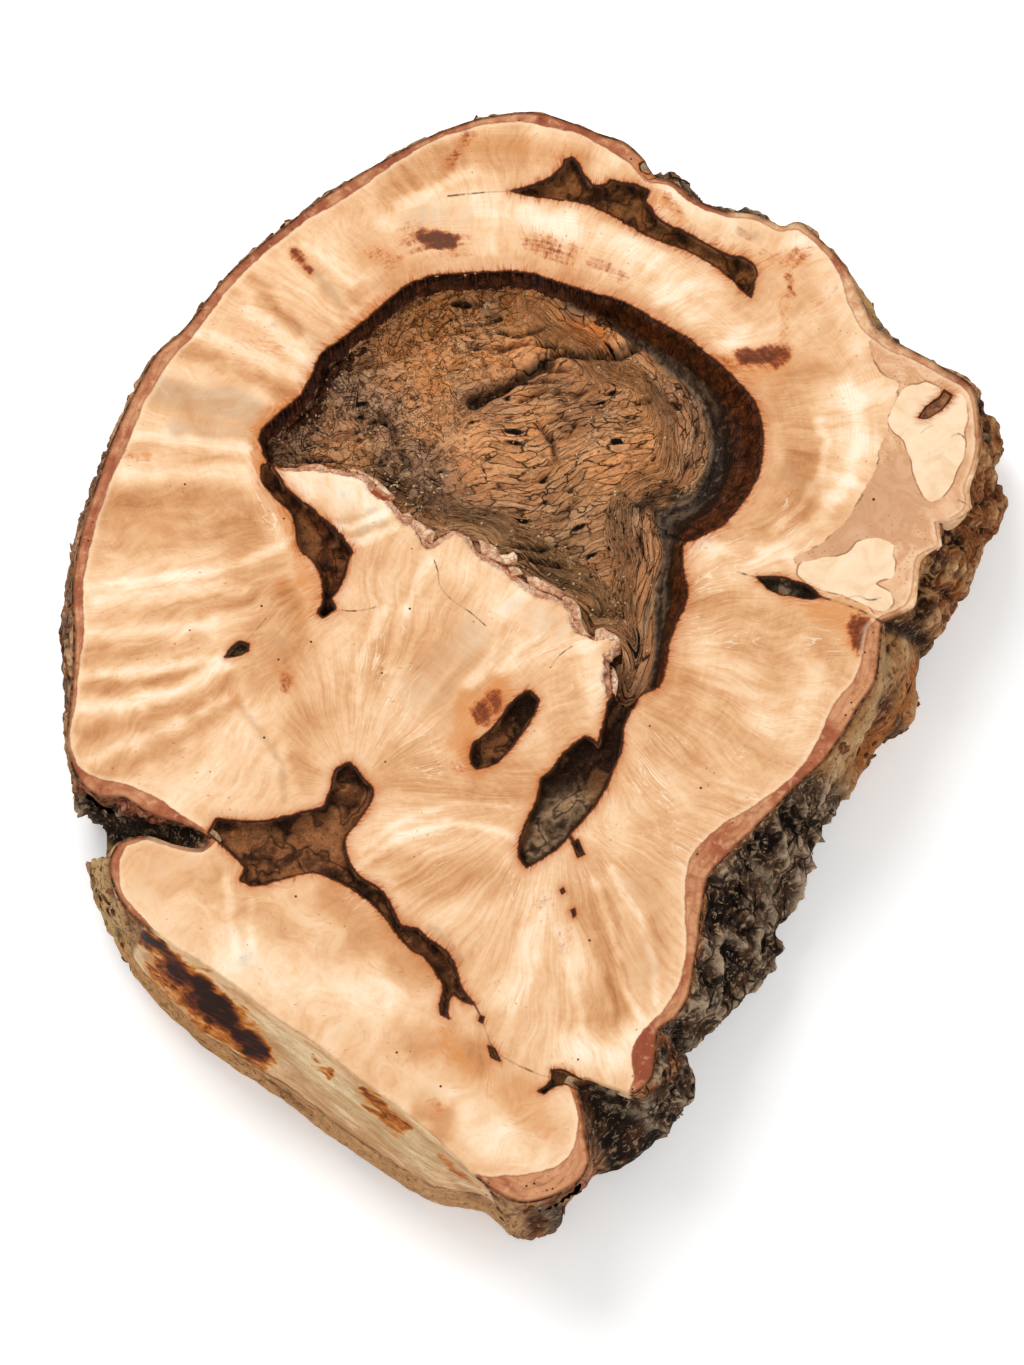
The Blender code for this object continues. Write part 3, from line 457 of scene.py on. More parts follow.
# Patches of colour on the bark, where the photograph shows them
BARK_MARKS = (
    ((210, 168, 112), 0.95, 13, (98, 852, 102, 884, 110, 914, 122, 944)),
    ((204, 148, 92), 0.85, 14, (124, 950, 150, 990, 190, 1034, 236, 1070)),
    ((206, 152, 100), 0.8, 14, (240, 1080, 300, 1120, 350, 1150, 420, 1186)),
    ((212, 160, 110), 0.8, 14, (430, 1190, 470, 1206, 510, 1226)),
    ((120, 78, 42), 0.7, 3, (134, 1000, 160, 1030, 196, 1062, 240, 1092, 290, 1120)),
    ((182, 116, 82), 0.85, 9, (492, 1190, 530, 1194, 574, 1186, 590, 1172)),
    ((104, 84, 66), 0.9, 12, (548, 1210, 560, 1212, 560, 1226)),
    ((54, 40, 30), 0.8, 5, (552, 1206, 562, 1210, 560, 1222)),
    ((70, 44, 26), 0.8, 4, (296, 216, 312, 203, 330, 190, 360, 174)),
    ((84, 50, 28), 0.75, 4, (150, 352, 142, 372, 146, 394)),
    ((90, 56, 32), 0.75, 4, (108, 446, 100, 470, 94, 496)),
    ((78, 56, 38), 0.7, 5, (66, 620, 62, 650, 64, 700)),
    # Painted shade: the bark beyond the face's edge at the top right, darkened as if in shadow
    ((38, 24, 15), 0.92, 8, (650, 158, 670, 168, 696, 184, 724, 200, 752, 214)),
    ((126, 84, 52), 0.7, 3, (654, 170, 680, 184, 700, 192)),
    ((44, 26, 15), 0.85, 4, (872, 312, 880, 322, 878, 334)),
    ((206, 160, 96), 0.8, 4, (866, 300, 874, 310, 878, 320)),
    ((40, 24, 13), 0.85, 4, (896, 342, 930, 364, 960, 384, 982, 404, 988, 440)),
    ((34, 18, 9), 0.95, 9, (936, 556, 930, 578, 922, 604, 914, 616)),
    ((42, 24, 14), 0.95, 9, (884, 626, 900, 628, 922, 640)),
    ((44, 32, 24), 0.9, 9, (826, 738, 800, 772, 770, 806, 752, 826)),
    ((176, 112, 58), 0.8, 3, (706, 884, 700, 934, 694, 966, 682, 1004)),
    ((206, 166, 118), 0.7, 7, (886, 650, 884, 690, 866, 726, 836, 762)),
    ((176, 104, 50), 0.8, 7, (914, 668, 910, 690, 900, 716, 878, 738, 860, 764)),
    ((60, 34, 18), 0.85, 4, (900, 716, 896, 726, 884, 738)),
    ((156, 134, 110), 0.6, 5, (756, 860, 770, 888, 770, 930)),
    ((162, 92, 44), 0.85, 4, (660, 1036, 670, 1050, 672, 1068, 656, 1086, 636, 1092)),
    ((96, 52, 26), 0.8, 3, (664, 1042, 678, 1060, 670, 1084)),
    ((172, 84, 54), 0.8, 6, (84, 786, 120, 800, 160, 822)),
    ((60, 42, 28), 0.8, 7, (90, 812, 130, 826, 180, 838)),
)

# Where the face's edge is pale tan wood, not inner bark
TAN_EDGE = ((752, 240), (790, 262), (822, 306), (850, 346), (890, 380), (930, 420), (956, 480),
            (946, 540), (910, 590))

# Long cracks in the hollow's floor: path, half width in metres, depth in metres
FLOOR_CRACKS = (
    (((474, 404), (490, 398), (508, 388), (530, 374), (548, 364)), 0.0024, 0.0085),
    (((552, 356), (585, 361), (612, 362), (640, 355), (664, 341)), 0.0008, 0.0055),
    (((470, 350), (500, 353), (530, 347), (556, 350)), 0.0009, 0.0040),
    (((498, 335), (520, 340), (546, 332)), 0.0008, 0.0035),
    (((380, 420), (392, 432), (398, 452), (410, 470)), 0.0010, 0.0050),
    (((330, 446), (352, 440), (370, 434), (386, 425)), 0.0006, 0.0030),
    (((398, 452), (384, 462), (380, 470)), 0.0008, 0.0035),
    (((520, 405), (545, 395), (575, 398), (600, 390)), 0.0007, 0.0035),
    (((505, 368), (540, 374), (580, 372)), 0.0006, 0.0030),
    (((508, 392), (540, 384), (572, 386)), 0.0006, 0.0030),
    (((540, 430), (552, 444), (556, 462)), 0.0012, 0.0045),
    (((560, 420), (575, 428), (568, 440)), 0.0010, 0.0040),
    (((500, 558), (530, 562), (560, 568)), 0.0007, 0.0040),
    (((512, 548), (540, 552), (566, 546)), 0.0005, 0.0030),
    (((350, 380), (380, 372), (402, 358)), 0.0005, 0.0024),
    (((440, 340), (470, 334), (500, 322)), 0.0006, 0.0028),
    (((596, 406), (624, 410), (650, 404)), 0.0006, 0.0028),
    (((600, 440), (622, 452), (640, 450)), 0.0006, 0.0028),
)
# A flake of the hollow's floor that has lifted
FLAP = ((552, 350), (566, 341), (580, 334), (600, 329), (628, 328), (660, 336), (648, 348),
        (616, 358), (584, 358))

# Fans of grain: the pixel that the grain leaves from and pixels that lie in the fan
FANS = (
    ((500, 432), ((180, 330), (250, 250), (350, 220), (450, 190), (560, 230), (680, 270), (770, 330),
                  (850, 430), (150, 420), (150, 480), (560, 140), (860, 330))),
    ((440, 520), ((150, 560), (140, 640), (150, 720), (230, 600), (250, 700), (200, 760), (290, 620))),
    ((350, 790), ((400, 560), (450, 620), (520, 650), (430, 700), (560, 700), (330, 500), (320, 700))),
    ((560, 800), ((480, 900), (560, 960), (620, 950), (660, 880), (430, 850), (520, 1050), (600, 1050),
                  (720, 830))),
    ((545, 640), ((700, 640), (780, 650), (700, 740), (800, 700), (650, 780), (820, 620), (760, 560))),
    ((-600, 150), ((180, 900), (260, 950), (350, 1020), (430, 1080), (520, 1130), (170, 870))),
)

# Chips still held at the hollow's torn side: height of the top against the face and thickness, in
# metres, and outline
CHIPS = (
    (-0.0008, 0.0030, ((596, 629), (603, 626), (610, 630), (618, 635), (622, 645), (614, 652), (612, 659), (603, 657),
                       (596, 650), (594, 640))),
    (-0.0020, 0.0016, ((478, 536), (486, 539), (496, 544), (500, 552), (508, 552), (514, 549), (517, 556), (515, 562),
                       (503, 561), (492, 556), (482, 552))),
    (-0.0034, 0.0014, ((490, 556), (502, 562), (514, 562), (524, 570), (512, 573), (498, 566))),
    (-0.0030, 0.0014, ((370, 488), (380, 490), (390, 500), (402, 510), (410, 508), (414, 516), (424, 522), (436, 530),
                       (432, 541), (414, 530), (396, 514), (380, 500))),
    (-0.0022, 0.0016, ((560, 592), (572, 596), (580, 606), (582, 622), (590, 634), (584, 636), (574, 622), (568, 604))),
    (-0.0040, 0.0012, ((344, 462), (356, 464), (372, 472), (384, 482), (396, 494), (390, 498), (374, 486), (356, 472))),
    (-0.0026, 0.0012, ((526, 572), (540, 575), (552, 582), (566, 590), (560, 596), (544, 588), (530, 581))),
    (-0.0044, 0.0010, ((600, 658), (612, 662), (618, 676), (616, 692), (610, 690), (606, 674))),
)


def srgb(colour):
    """A colour of 0 to 255 steps as the light that it stands for."""
    steps = np.asarray(colour, float) / 255.0
    return np.where(steps <= 0.04045, steps / 12.92, ((steps + 0.055) / 1.055) ** 2.4)


def at_height(points, height=0.0):
    """Level points with a height."""
    return np.column_stack((points, np.full(len(points), height)))


def seen_at(pixels, height):
    """Where the photograph's lines of sight through pixels meet a level."""
    lean = math.cos(VIEW_ELEVATION)
    rise = math.sin(VIEW_ELEVATION)
    pixels = np.asarray(pixels, float)
    centre = np.array((0.0, 0.0, THICKNESS))
    eye = centre + VIEW_DISTANCE * np.array((0.0, -lean, rise))
    across = (pixels[..., 0] - CENTRE_PIXEL[0]) * METRES_PER_PIXEL
    up = (CENTRE_PIXEL[1] - pixels[..., 1]) * METRES_PER_PIXEL
    target = centre + np.stack((across, up * rise, up * lean), axis=-1)
    along = (eye[2] - height) / (eye[2] - target[..., 2])
    return eye + along[..., None] * (target - eye)


def pixel_of(points):
    """The pixels at which the photograph shows points."""
    lean = math.cos(VIEW_ELEVATION)
    rise = math.sin(VIEW_ELEVATION)
    offset = points - np.array((0.0, 0.0, THICKNESS))
    up = offset[..., 1] * rise + offset[..., 2] * lean
    nearer = offset[..., 2] * rise - offset[..., 1] * lean
    scale = VIEW_DISTANCE / (VIEW_DISTANCE - nearer) / METRES_PER_PIXEL
    return np.stack((CENTRE_PIXEL[0] + offset[..., 0] * scale, CENTRE_PIXEL[1] - up * scale), axis=-1)


def ease(value, low=0.0, high=1.0):
    """Goes smoothly from 0 at low to 1 at high."""
    held = np.clip((np.asarray(value, float) - low) / (high - low), 0.0, 1.0)
    return held * held * (3.0 - 2.0 * held)


def mix(first, second, share):
    """Blends two colours or sets of colours by a share for each point."""
    share = np.asarray(share)[..., None]
    return first * (1.0 - share) + second * share


def scatter(cells, seed):
    """A repeatable number from 0 to 1 for each whole cell."""
    cells = cells.astype(np.int64)
    mixed = ((cells[..., 0] * 73856093) ^ (cells[..., 1] * 19349663)
             ^ (cells[..., 2] * 83492791) ^ (seed * 2654435))
    mixed = (mixed & 0xFFFFFFFF)
    mixed = ((mixed ^ (mixed >> 13)) * 1274126177) & 0xFFFFFFFF
    mixed = ((mixed ^ (mixed >> 15)) * 2246822519) & 0xFFFFFFFF
    return ((mixed ^ (mixed >> 16)) & 0xFFFFF) / float(0xFFFFF)


def noise(points, size, seed=0):
    """Smooth noise from -1 to 1 with lumps of a size."""
    at = points / np.asarray(size, float)
    base = np.floor(at)
    part = at - base
    part = part * part * (3.0 - 2.0 * part)
    total = np.zeros(points.shape[:-1])
    for corner in itertools.product((0, 1), repeat=3):
        reach = np.where(np.array(corner) == 1, part, 1.0 - part)
        total += np.prod(reach, axis=-1) * scatter(base + np.array(corner), seed)
    return 2.0 * total - 1.0


def layered(points, size, layers, seed=0):
    """Noise with finer noise on top of it."""
    size = np.asarray(size, float)
    total = np.zeros(points.shape[:-1])
    for layer in range(layers):
        total += noise(points + 17.3 * layer * size, size / 2.0 ** layer, seed + layer) / 2.0 ** layer
    return total / (2.0 - 2.0 ** (1 - layers))


def ridges(points, size, seed):
    """Noise with sharp crests of 1."""
    return 1.0 - np.abs(noise(points, size, seed))


def shaken(points, amount, size, seeds):
    """Points moved by noise."""
    return points + amount * np.stack([noise(points, size, seed) for seed in seeds], axis=-1)


def cells(points, size, seed=0):
    """Nearest and second nearest distance to scattered seeds, in cell sizes, and the nearest's number."""
    at = points / np.asarray(size, float)
    base = np.floor(at)
    first = np.full(points.shape[:-1], 9.0)
    second = np.full(points.shape[:-1], 9.0)
    number = np.zeros(points.shape[:-1])
    for step in itertools.product((-1, 0, 1), repeat=3):
        cell = base + np.array(step)
        spot = cell + np.stack([scatter(cell, seed + 11 * axis) for axis in range(3)], axis=-1)
        reach = np.linalg.norm(at - spot, axis=-1)
        nearer = reach < first
        second = np.where(nearer, first, np.minimum(second, reach))
        number = np.where(nearer, scatter(cell, seed + 77), number)
        first = np.where(nearer, reach, first)
    return first, second, number


def curve_steps(lengths, step):
    """How many steps each stretch between two knots takes."""
    return np.maximum(1, np.round(np.asarray(lengths) / step).astype(int))


def along_curve(knots, counts, closed=True):
    """Points on a smooth curve through knots, with sharp turns kept."""
    knots = np.asarray(knots, float)
    before = knots - np.roll(knots, 1, axis=0)
    after = np.roll(knots, -1, axis=0) - knots
    length_before = np.linalg.norm(before, axis=1, keepdims=True)
    length_after = np.linalg.norm(after, axis=1, keepdims=True)
    unit_before = before / np.maximum(length_before, 1e-9)
    unit_after = after / np.maximum(length_after, 1e-9)
    slopes = (unit_before + unit_after) / 2.0 * np.minimum(length_before, length_after)
    slopes[np.sum(unit_before * unit_after, axis=1) < 0.6] = 0.0
    index = np.repeat(np.arange(len(knots)), counts)
    share = np.concatenate([np.arange(count) / count for count in counts])[:, None]
    if not closed:
        slopes[0] = slopes[-1] = 0.0
        keep = index < len(knots) - 1
        index, share = index[keep], share[keep]
    following = (index + 1) % len(knots)
    square, cube = share ** 2, share ** 3
    points = ((2 * cube - 3 * square + 1) * knots[index] + (cube - 2 * square + share) * slopes[index]
              + (3 * square - 2 * cube) * knots[following] + (cube - square) * slopes[following])
    return points if closed else np.vstack((points, knots[-1:]))


def loop_of(pixels, step, height=None):
    """A closed level loop through pixels, in metres."""
    knots = seen_at(pixels, THICKNESS if height is None else height)[:, :2]
    lengths = np.linalg.norm(np.roll(knots, -1, axis=0) - knots, axis=1)
    return along_curve(knots, curve_steps(lengths, step))


def ragged(loop, size, height, seed):
    """A loop with its edge made uneven."""
    chord = np.roll(loop, -2, axis=0) - np.roll(loop, 2, axis=0)
    chord /= np.maximum(np.linalg.norm(chord, axis=1, keepdims=True), 1e-9)
    out = np.stack((-chord[:, 1], chord[:, 0]), axis=1)
    deep = at_height(loop)
    return loop + out * (height * layered(deep, size, 2, seed))[:, None]


def distance_to_path(points, path, closed=True, reach=0.012):
    """How far level points are from a path, counted up to a reach."""
    ends = np.roll(path, -1, axis=0) if closed else path[1:]
    starts = path[: len(ends)]
    nearest = np.full(len(points), reach * reach)
    for first in range(0, len(ends), PATH_RUN):
        run_starts, run_ends = starts[first:first + PATH_RUN], ends[first:first + PATH_RUN]
        low = np.minimum(run_starts.min(axis=0), run_ends.min(axis=0)) - reach
        high = np.maximum(run_starts.max(axis=0), run_ends.max(axis=0)) + reach
        near = np.nonzero(np.all((points > low) & (points < high), axis=1))[0]
        spots = points[near]
        best = nearest[near]
        for start, end in zip(run_starts, run_ends):
            along = end - start
            share = np.clip(((spots - start) @ along) / max(along @ along, 1e-18), 0.0, 1.0)
            offset = spots - start - share[:, None] * along
            best = np.minimum(best, offset[:, 0] ** 2 + offset[:, 1] ** 2)
        nearest[near] = best
    return np.sqrt(nearest)


def is_inside(points, loop):
    """Whether level points lie inside a closed loop."""
    inside = np.zeros(len(points), bool)
    near = np.nonzero(np.all((points > loop.min(axis=0)) & (points < loop.max(axis=0)), axis=1))[0]
    x, y = points[near, 0], points[near, 1]
    found = np.zeros(len(near), bool)
    for (x0, y0), (x1, y1) in zip(loop, np.roll(loop, -1, axis=0)):
        if y1 != y0:
            found ^= ((y0 > y) != (y1 > y)) & (x < x0 + (y - y0) * (x1 - x0) / (y1 - y0))
    inside[near] = found
    return inside


def signed_distance(points, loop, reach=0.012):
    """Distance to a loop, positive inside it."""
    distance = distance_to_path(points, loop, reach=reach)
    return np.where(is_inside(points, loop), distance, -distance)


def station_points():
    """The wall's knots at each station: face edge, facet foot and girth, with the way out."""
    edges = seen_at([station[1] for station in OUTLINE], THICKNESS)
    low = [station[2] for station in OUTLINE]
    sawn = np.array([station[3] == "sawn" for station in OUTLINE])
    out = ring_outward(edges, 3)
    lean = (THICKNESS - GIRTH_HEIGHT) / math.tan(VIEW_ELEVATION)
    girths = seen_at(low, GIRTH_HEIGHT)
    girths[:, 1] -= HIDDEN_SIDE_UPRIGHT * ease(out[:, 1]) * lean
    facet_feet = seen_at(low, FACET_FOOT_HEIGHT)
    straight_down = facet_feet + 0.001 * out
    straight_down[:, 2] = GIRTH_HEIGHT
    girths[sawn] = straight_down[sawn]
    share = ((THICKNESS - FACET_FOOT_HEIGHT) / (THICKNESS - GIRTH_HEIGHT)) ** 0.75
    between = edges + share * (girths - edges)
    between[:, 2] = FACET_FOOT_HEIGHT
    facet_feet[~sawn] = between[~sawn]
    return edges, facet_feet, girths, ring_outward(girths, 5), sawn


def ring_outward(ring, reach):
    """The level way out of a clockwise ring at each of its points."""
    chord = np.roll(ring, -reach, axis=0) - np.roll(ring, reach, axis=0)
    out = np.stack((-chord[:, 1], chord[:, 0], np.zeros(len(ring))), axis=1)
    return out / np.maximum(np.linalg.norm(out, axis=1, keepdims=True), 1e-9)


def wall_knots(height, stations):
    """The wall's knots at a height."""
    edges, facet_feet, girths, out, sawn = stations
    if height >= FACET_FOOT_HEIGHT:
        share = (THICKNESS - height) / (THICKNESS - FACET_FOOT_HEIGHT)
        power = np.where(sawn, share, share ** 0.8)[:, None]
        points = edges + power * (facet_feet - edges)
    elif height >= GIRTH_HEIGHT:
        share = (FACET_FOOT_HEIGHT - height) / (FACET_FOOT_HEIGHT - GIRTH_HEIGHT)
        points = facet_feet + share * (girths - facet_feet)
    else:
        share = (GIRTH_HEIGHT - height) / GIRTH_HEIGHT
        points = girths - FOOT_INSET * share * share * out
    points = points.copy()
    points[:, 2] = height
    return points


class Wall:
    """The slab's side as a grid of rings, and its outline at the face."""

    def __init__(self, column_step, rows):
        stations = station_points()
        edges, _, girths, _, _ = stations
        reach = [np.linalg.norm(np.roll(ring, -1, axis=0) - ring, axis=1) for ring in (edges, girths)]
        self.counts = curve_steps(np.maximum(*reach), column_step)
        self.heights = THICKNESS * (1.0 - np.linspace(0.0, 1.0, rows))
        self.grid = np.stack([along_curve(wall_knots(height, stations), self.counts)
                              for height in self.heights])
        self.outline = self.grid[0][:, :2]
        self.kinds = self.kind_shares()

    def kind_shares(self):
        """The share of each kind of bark in each column, blended over a few columns."""
        names = [station[3] for station in OUTLINE]
        rows = []
        for index, count in enumerate(self.counts):
            for step in range(count):
                name = names[index if 2 * step < count else (index + 1) % len(names)]
                rows.append([1.0 if name == kind else 0.0 for kind in KINDS])
        shares = np.array(rows)
        for _ in range(2):
            shares = sum(np.roll(shares, shift, axis=0) for shift in range(-3, 4)) / 7.0
        return {kind: shares[:, column] for column, kind in enumerate(KINDS)}


WALL = Wall(0.0012, 64)


def new_piece(name, verts, faces, material, smooth=True):
    """A mesh object from points and faces, at the origin."""
    mesh = bpy.data.meshes.new(name)
    mesh.from_pydata(np.asarray(verts).tolist(), [], faces)
    mesh.update()
    if smooth:
        mesh.shade_smooth()
    mesh.materials.append(material)
    item = bpy.data.objects.new(name, mesh)
    bpy.context.scene.collection.objects.link(item)
    return item


def give_numbers(item, name, values):
    """Stores a number for each point of a piece."""
    layer = item.data.attributes.new(name, "FLOAT", "POINT")
    layer.data.foreach_set("value", np.asarray(values, np.float32))


def give_colours(item, name, colours):
    """Stores a colour for each point of a piece."""
    layer = item.data.attributes.new(name, "FLOAT_COLOR", "POINT")
    full = np.ones((len(colours), 4), np.float32)
    full[:, :3] = colours
    layer.data.foreach_set("color", full.ravel())


def triangulate(loops, paths, points, keep):
    """Triangles over level points that follow loops and paths, of those whose middle is kept."""
    verts = []
    edges = []
    for loop in loops:
        start = len(verts)
        verts += loop.tolist()
        edges += [(start + step, start + (step + 1) % len(loop)) for step in range(len(loop))]
    for path in paths:
        start = len(verts)
        verts += path.tolist()
        edges += [(start + step, start + step + 1) for step in range(len(path) - 1)]
    verts += points.tolist()
    scaled = [Vector((1000.0 * x, 1000.0 * y)) for x, y in verts]
    found, _, faces, *_ = delaunay_2d_cdt(scaled, edges, [], 0, 0.0005)
    level = np.array([(place.x, place.y) for place in found]) / 1000.0
    triangles = np.array(faces)
    middles = level[triangles].mean(axis=1)
    corner = level[triangles]
    area = np.cross(corner[:, 1] - corner[:, 0], corner[:, 2] - corner[:, 0])
    wanted = keep(middles) & (np.abs(area) > 1e-12)
    triangles = triangles[wanted]
    flip = area[wanted] < 0.0
    triangles[flip] = triangles[flip][:, ::-1]
    used = np.unique(triangles)
    renumber = np.full(len(level), -1)
    renumber[used] = np.arange(len(used))
    return level[used], renumber[triangles]


def fill_points(low, high, step, seed):
    """A staggered grid of level points, each moved a little."""
    columns = np.arange(low[0], high[0], step)
    rows = np.arange(low[1], high[1], step * 0.866)
    x, y = np.meshgrid(columns, rows)
    x = x + (np.arange(len(rows)) % 2)[:, None] * step / 2.0
    points = np.stack((x.ravel(), y.ravel()), axis=1)
    rng = np.random.default_rng(seed)
    return points + rng.uniform(-0.22, 0.22, points.shape) * step


def close_below(top, triangles, bottom_height, inset):
    """Closes a level sheet from below: a skirt from each of its free edges to a hidden flat underside."""
    edge_count = {}
    for triangle in triangles.tolist():
        for first, second in zip(triangle, triangle[1:] + triangle[:1]):
            edge_count[(first, second)] = edge_count.get((first, second), 0) + 1
    free = [pair for pair in edge_count if (pair[1], pair[0]) not in edge_count]
    under = top.copy()
    under[:, 2] = bottom_height
    ways = np.zeros((len(top), 2))
    for first, second in free:
        edge = top[second, :2] - top[first, :2]
        side = np.array((-edge[1], edge[0]))
        ways[first] += side
        ways[second] += side
    length = np.linalg.norm(ways, axis=1, keepdims=True)
    under[:, :2] += inset * ways / np.maximum(length, 1e-9) * (length > 0)
    shift = len(top)
    faces = triangles.tolist()
    faces += [(second, first, first + shift, second + shift) for first, second in free]
    faces += [(c + shift, b + shift, a + shift) for a, b, c in triangles.tolist()]
    return np.vstack((top, under)), faces


class Pocket:
    """A pocket's loop, depth and colours."""

    def __init__(self, name, index):
        self.depth, dark, light, pixels = POCKETS[name]
        rough = 0.0003 if self.depth > 0.005 else 0.00012
        self.loop = ragged(loop_of(pixels, 0.0008), 0.0028, rough, 40 + index)
        self.dark = srgb(dark)
        self.light = srgb(light)
        self.name = name


POCKET_LIST = [Pocket(name, index) for index, name in enumerate(POCKETS)]
RIM_PIXELS = [pixel for pixel, _ in HOLLOW_RIM]


def rim_loop():
    """The hollow's rim, sawn and then torn along its near side, and where the torn part lies."""
    knots = seen_at(RIM_PIXELS, THICKNESS)[:, :2]
    lengths = np.linalg.norm(np.roll(knots, -1, axis=0) - knots, axis=1)
    counts = curve_steps(lengths, 0.0008)
    smooth = along_curve(knots, counts)
    order = np.arange(len(knots))
    held = (order >= TORN_STATIONS[0]) & (order < TORN_STATIONS[1])
    torn = np.repeat(held, counts).astype(float)
    rough = ragged(smooth, 0.0042, 0.0016, 5)
    fine = ragged(smooth, 0.0030, 0.0004, 6)
    return mix(fine, rough, torn), slice(*(int(np.sum(counts[:station])) for station in TORN_STATIONS))


RIM, TORN_SPAN = rim_loop()
TORN_RIM = RIM[TORN_SPAN]


def floor_loop():
    """The foot of the hollow's wall."""
    floor_height = THICKNESS - HOLLOW_DEPTH
    middle = seen_at(HOLLOW_MIDDLE, THICKNESS)[:2]
    knots = []
    for pixel, run in HOLLOW_RIM:
        if run <= NEAR_RUN:
            edge = seen_at(pixel, THICKNESS)[:2]
            inward = (middle - edge) / np.linalg.norm(middle - edge)
            knots.append(edge + NEAR_WALL_RUN * inward)
        else:
            way = np.subtract(HOLLOW_MIDDLE, pixel) / np.linalg.norm(np.subtract(HOLLOW_MIDDLE, pixel))
            knots.append(seen_at(np.add(pixel, run * way), floor_height)[:2])
    knots = np.array(knots)
    lengths = np.linalg.norm(np.roll(knots, -1, axis=0) - knots, axis=1)
    return along_curve(knots, curve_steps(lengths, 0.0015))


def crust_share(points):
    """How much level points lie in the crust along the torn rim."""
    deep = at_height(points)
    width = 0.0034 * (1.0 + 0.75 * layered(deep, 0.010, 3, 51))
    reach = distance_to_path(points, TORN_RIM, closed=False)
    return 1.0 - np.clip(reach / np.maximum(width, 0.0005), 0.0, 1.0)


def surface_drop(points):
    """How far below the face level points lie: pockets, and the crust of the torn rim."""
    drop = np.zeros(len(points))
    deep = at_height(points)
    for pocket in POCKET_LIST:
        near = np.all((points > pocket.loop.min(axis=0)) & (points < pocket.loop.max(axis=0)), axis=1)
        if not near.any():
            continue
        reach = np.maximum(signed_distance(points[near], pocket.loop), 0.0)
        run = 0.0011 if pocket.depth > 0.005 else 0.0007
        folds = ridges(deep[near], (0.0040, 0.0026, 1.0), 12)
        share = 1.0 - np.exp(-((reach / run) ** 1.4))
        below = (pocket.depth * share * (0.62 + 0.38 * folds)
                 + 0.0010 * share * layered(deep[near], 0.0022, 2, 3))
        drop[near] = np.maximum(drop[near], below)
    crust = crust_share(points)
    chips, _, number = cells(deep, (0.0050, 0.0034, 1.0), 52)
    steps = np.ceil(3.0 * np.clip(crust + 0.35 * (number - 0.5), 0.0, 1.0)) / 3.0
    fall = 0.0034 * steps * ease(crust, 0.0, 0.12) + 0.0004 * crust * noise(deep, 0.0016, 53)
    return np.maximum(drop, fall), drop, crust


def fan_shares(pixels):
    """How much each level place belongs to each fan of grain."""
    reach = np.stack([np.min([np.hypot(*(pixels - anchor).T) for anchor in anchors], axis=0)
                      for _, anchors in FANS], axis=1)
    wobble = noise(at_height(pixels), 60.0, 9)
    weight = np.exp(-(reach + 12.0 * wobble[:, None]) / 16.0) + 1e-9
    return weight / weight.sum(axis=1, keepdims=True)


def fan_streaks(pixels, shares):
    """Broad streaks that run out along the fans of grain."""
    total = np.zeros(len(pixels))
    deep = at_height(pixels)
    bend = 0.10 * layered(deep, 110.0, 2, 19)
    for number, (centre, _) in enumerate(FANS):
        offset = pixels - np.array(centre)
        radius = np.hypot(offset[:, 0], offset[:, 1])
        turn = np.arctan2(offset[:, 1], offset[:, 0]) + bend
        place = np.stack((turn * 240.0, radius * 0.14, np.full(len(turn), 3.0 * number)), axis=1)
        total += shares[:, number] * layered(place, 18.0, 4, 20 + number)
    return total


def mark_share(pixels, path, half_width, spread, seed, whole=False):
    """How strongly a soft mark with an uneven edge covers the pixels near its path, and which they are."""
    path = np.reshape(path, (-1, 2)).astype(float)
    low = path.min(axis=0) - 2.4 * half_width - 2.0
    high = path.max(axis=0) + 2.4 * half_width + 2.0
    near = np.nonzero(np.all((pixels > low) & (pixels < high), axis=1))[0]
    deep = np.column_stack((pixels[near], np.zeros(len(near))))
    reach = distance_to_path(pixels[near], path, closed=False, reach=2.4 * half_width + 2.0)
    size = spread * half_width + 2.0
    uneven = layered(deep, (size, size, 1.0), 3, seed)
    share = ease(reach + 0.8 * half_width * uneven, 1.5 * half_width, 0.25 * half_width)
    if not whole:
        return near, share
    everywhere = np.zeros(len(pixels))
    everywhere[near] = share
    return everywhere


def paint(colours, pixels, marks, spread):
    """Lays soft marks over colours."""
    for number, (colour, strength, half_width, path) in enumerate(marks):
        near, share = mark_share(pixels, path, half_width, spread, 100 + number)
        colours[near] = mix(colours[near], srgb(colour), strength * share)
    return colours


def wood_channels(pixels, shares):
    """Paleness, greyness, red-brown stain and orange of the wood at pixels."""
    deep = at_height(pixels)
    level = 0.53 + 0.15 * layered(deep, 120.0, 4, 1) + 0.30 * fan_streaks(pixels, shares)
    found = {"level": level}
    for name in ("grey", "stain", "orange"):
        found[name] = np.zeros(len(pixels))
    for number, (name, amount, half_width, path) in enumerate(WOOD_MARKS):
        near, share = mark_share(pixels, path, half_width, 1.3, 200 + number)
        if name == "level":
            found[name][near] += amount * share
        else:
            found[name][near] = np.maximum(found[name][near], amount * share)
    return found


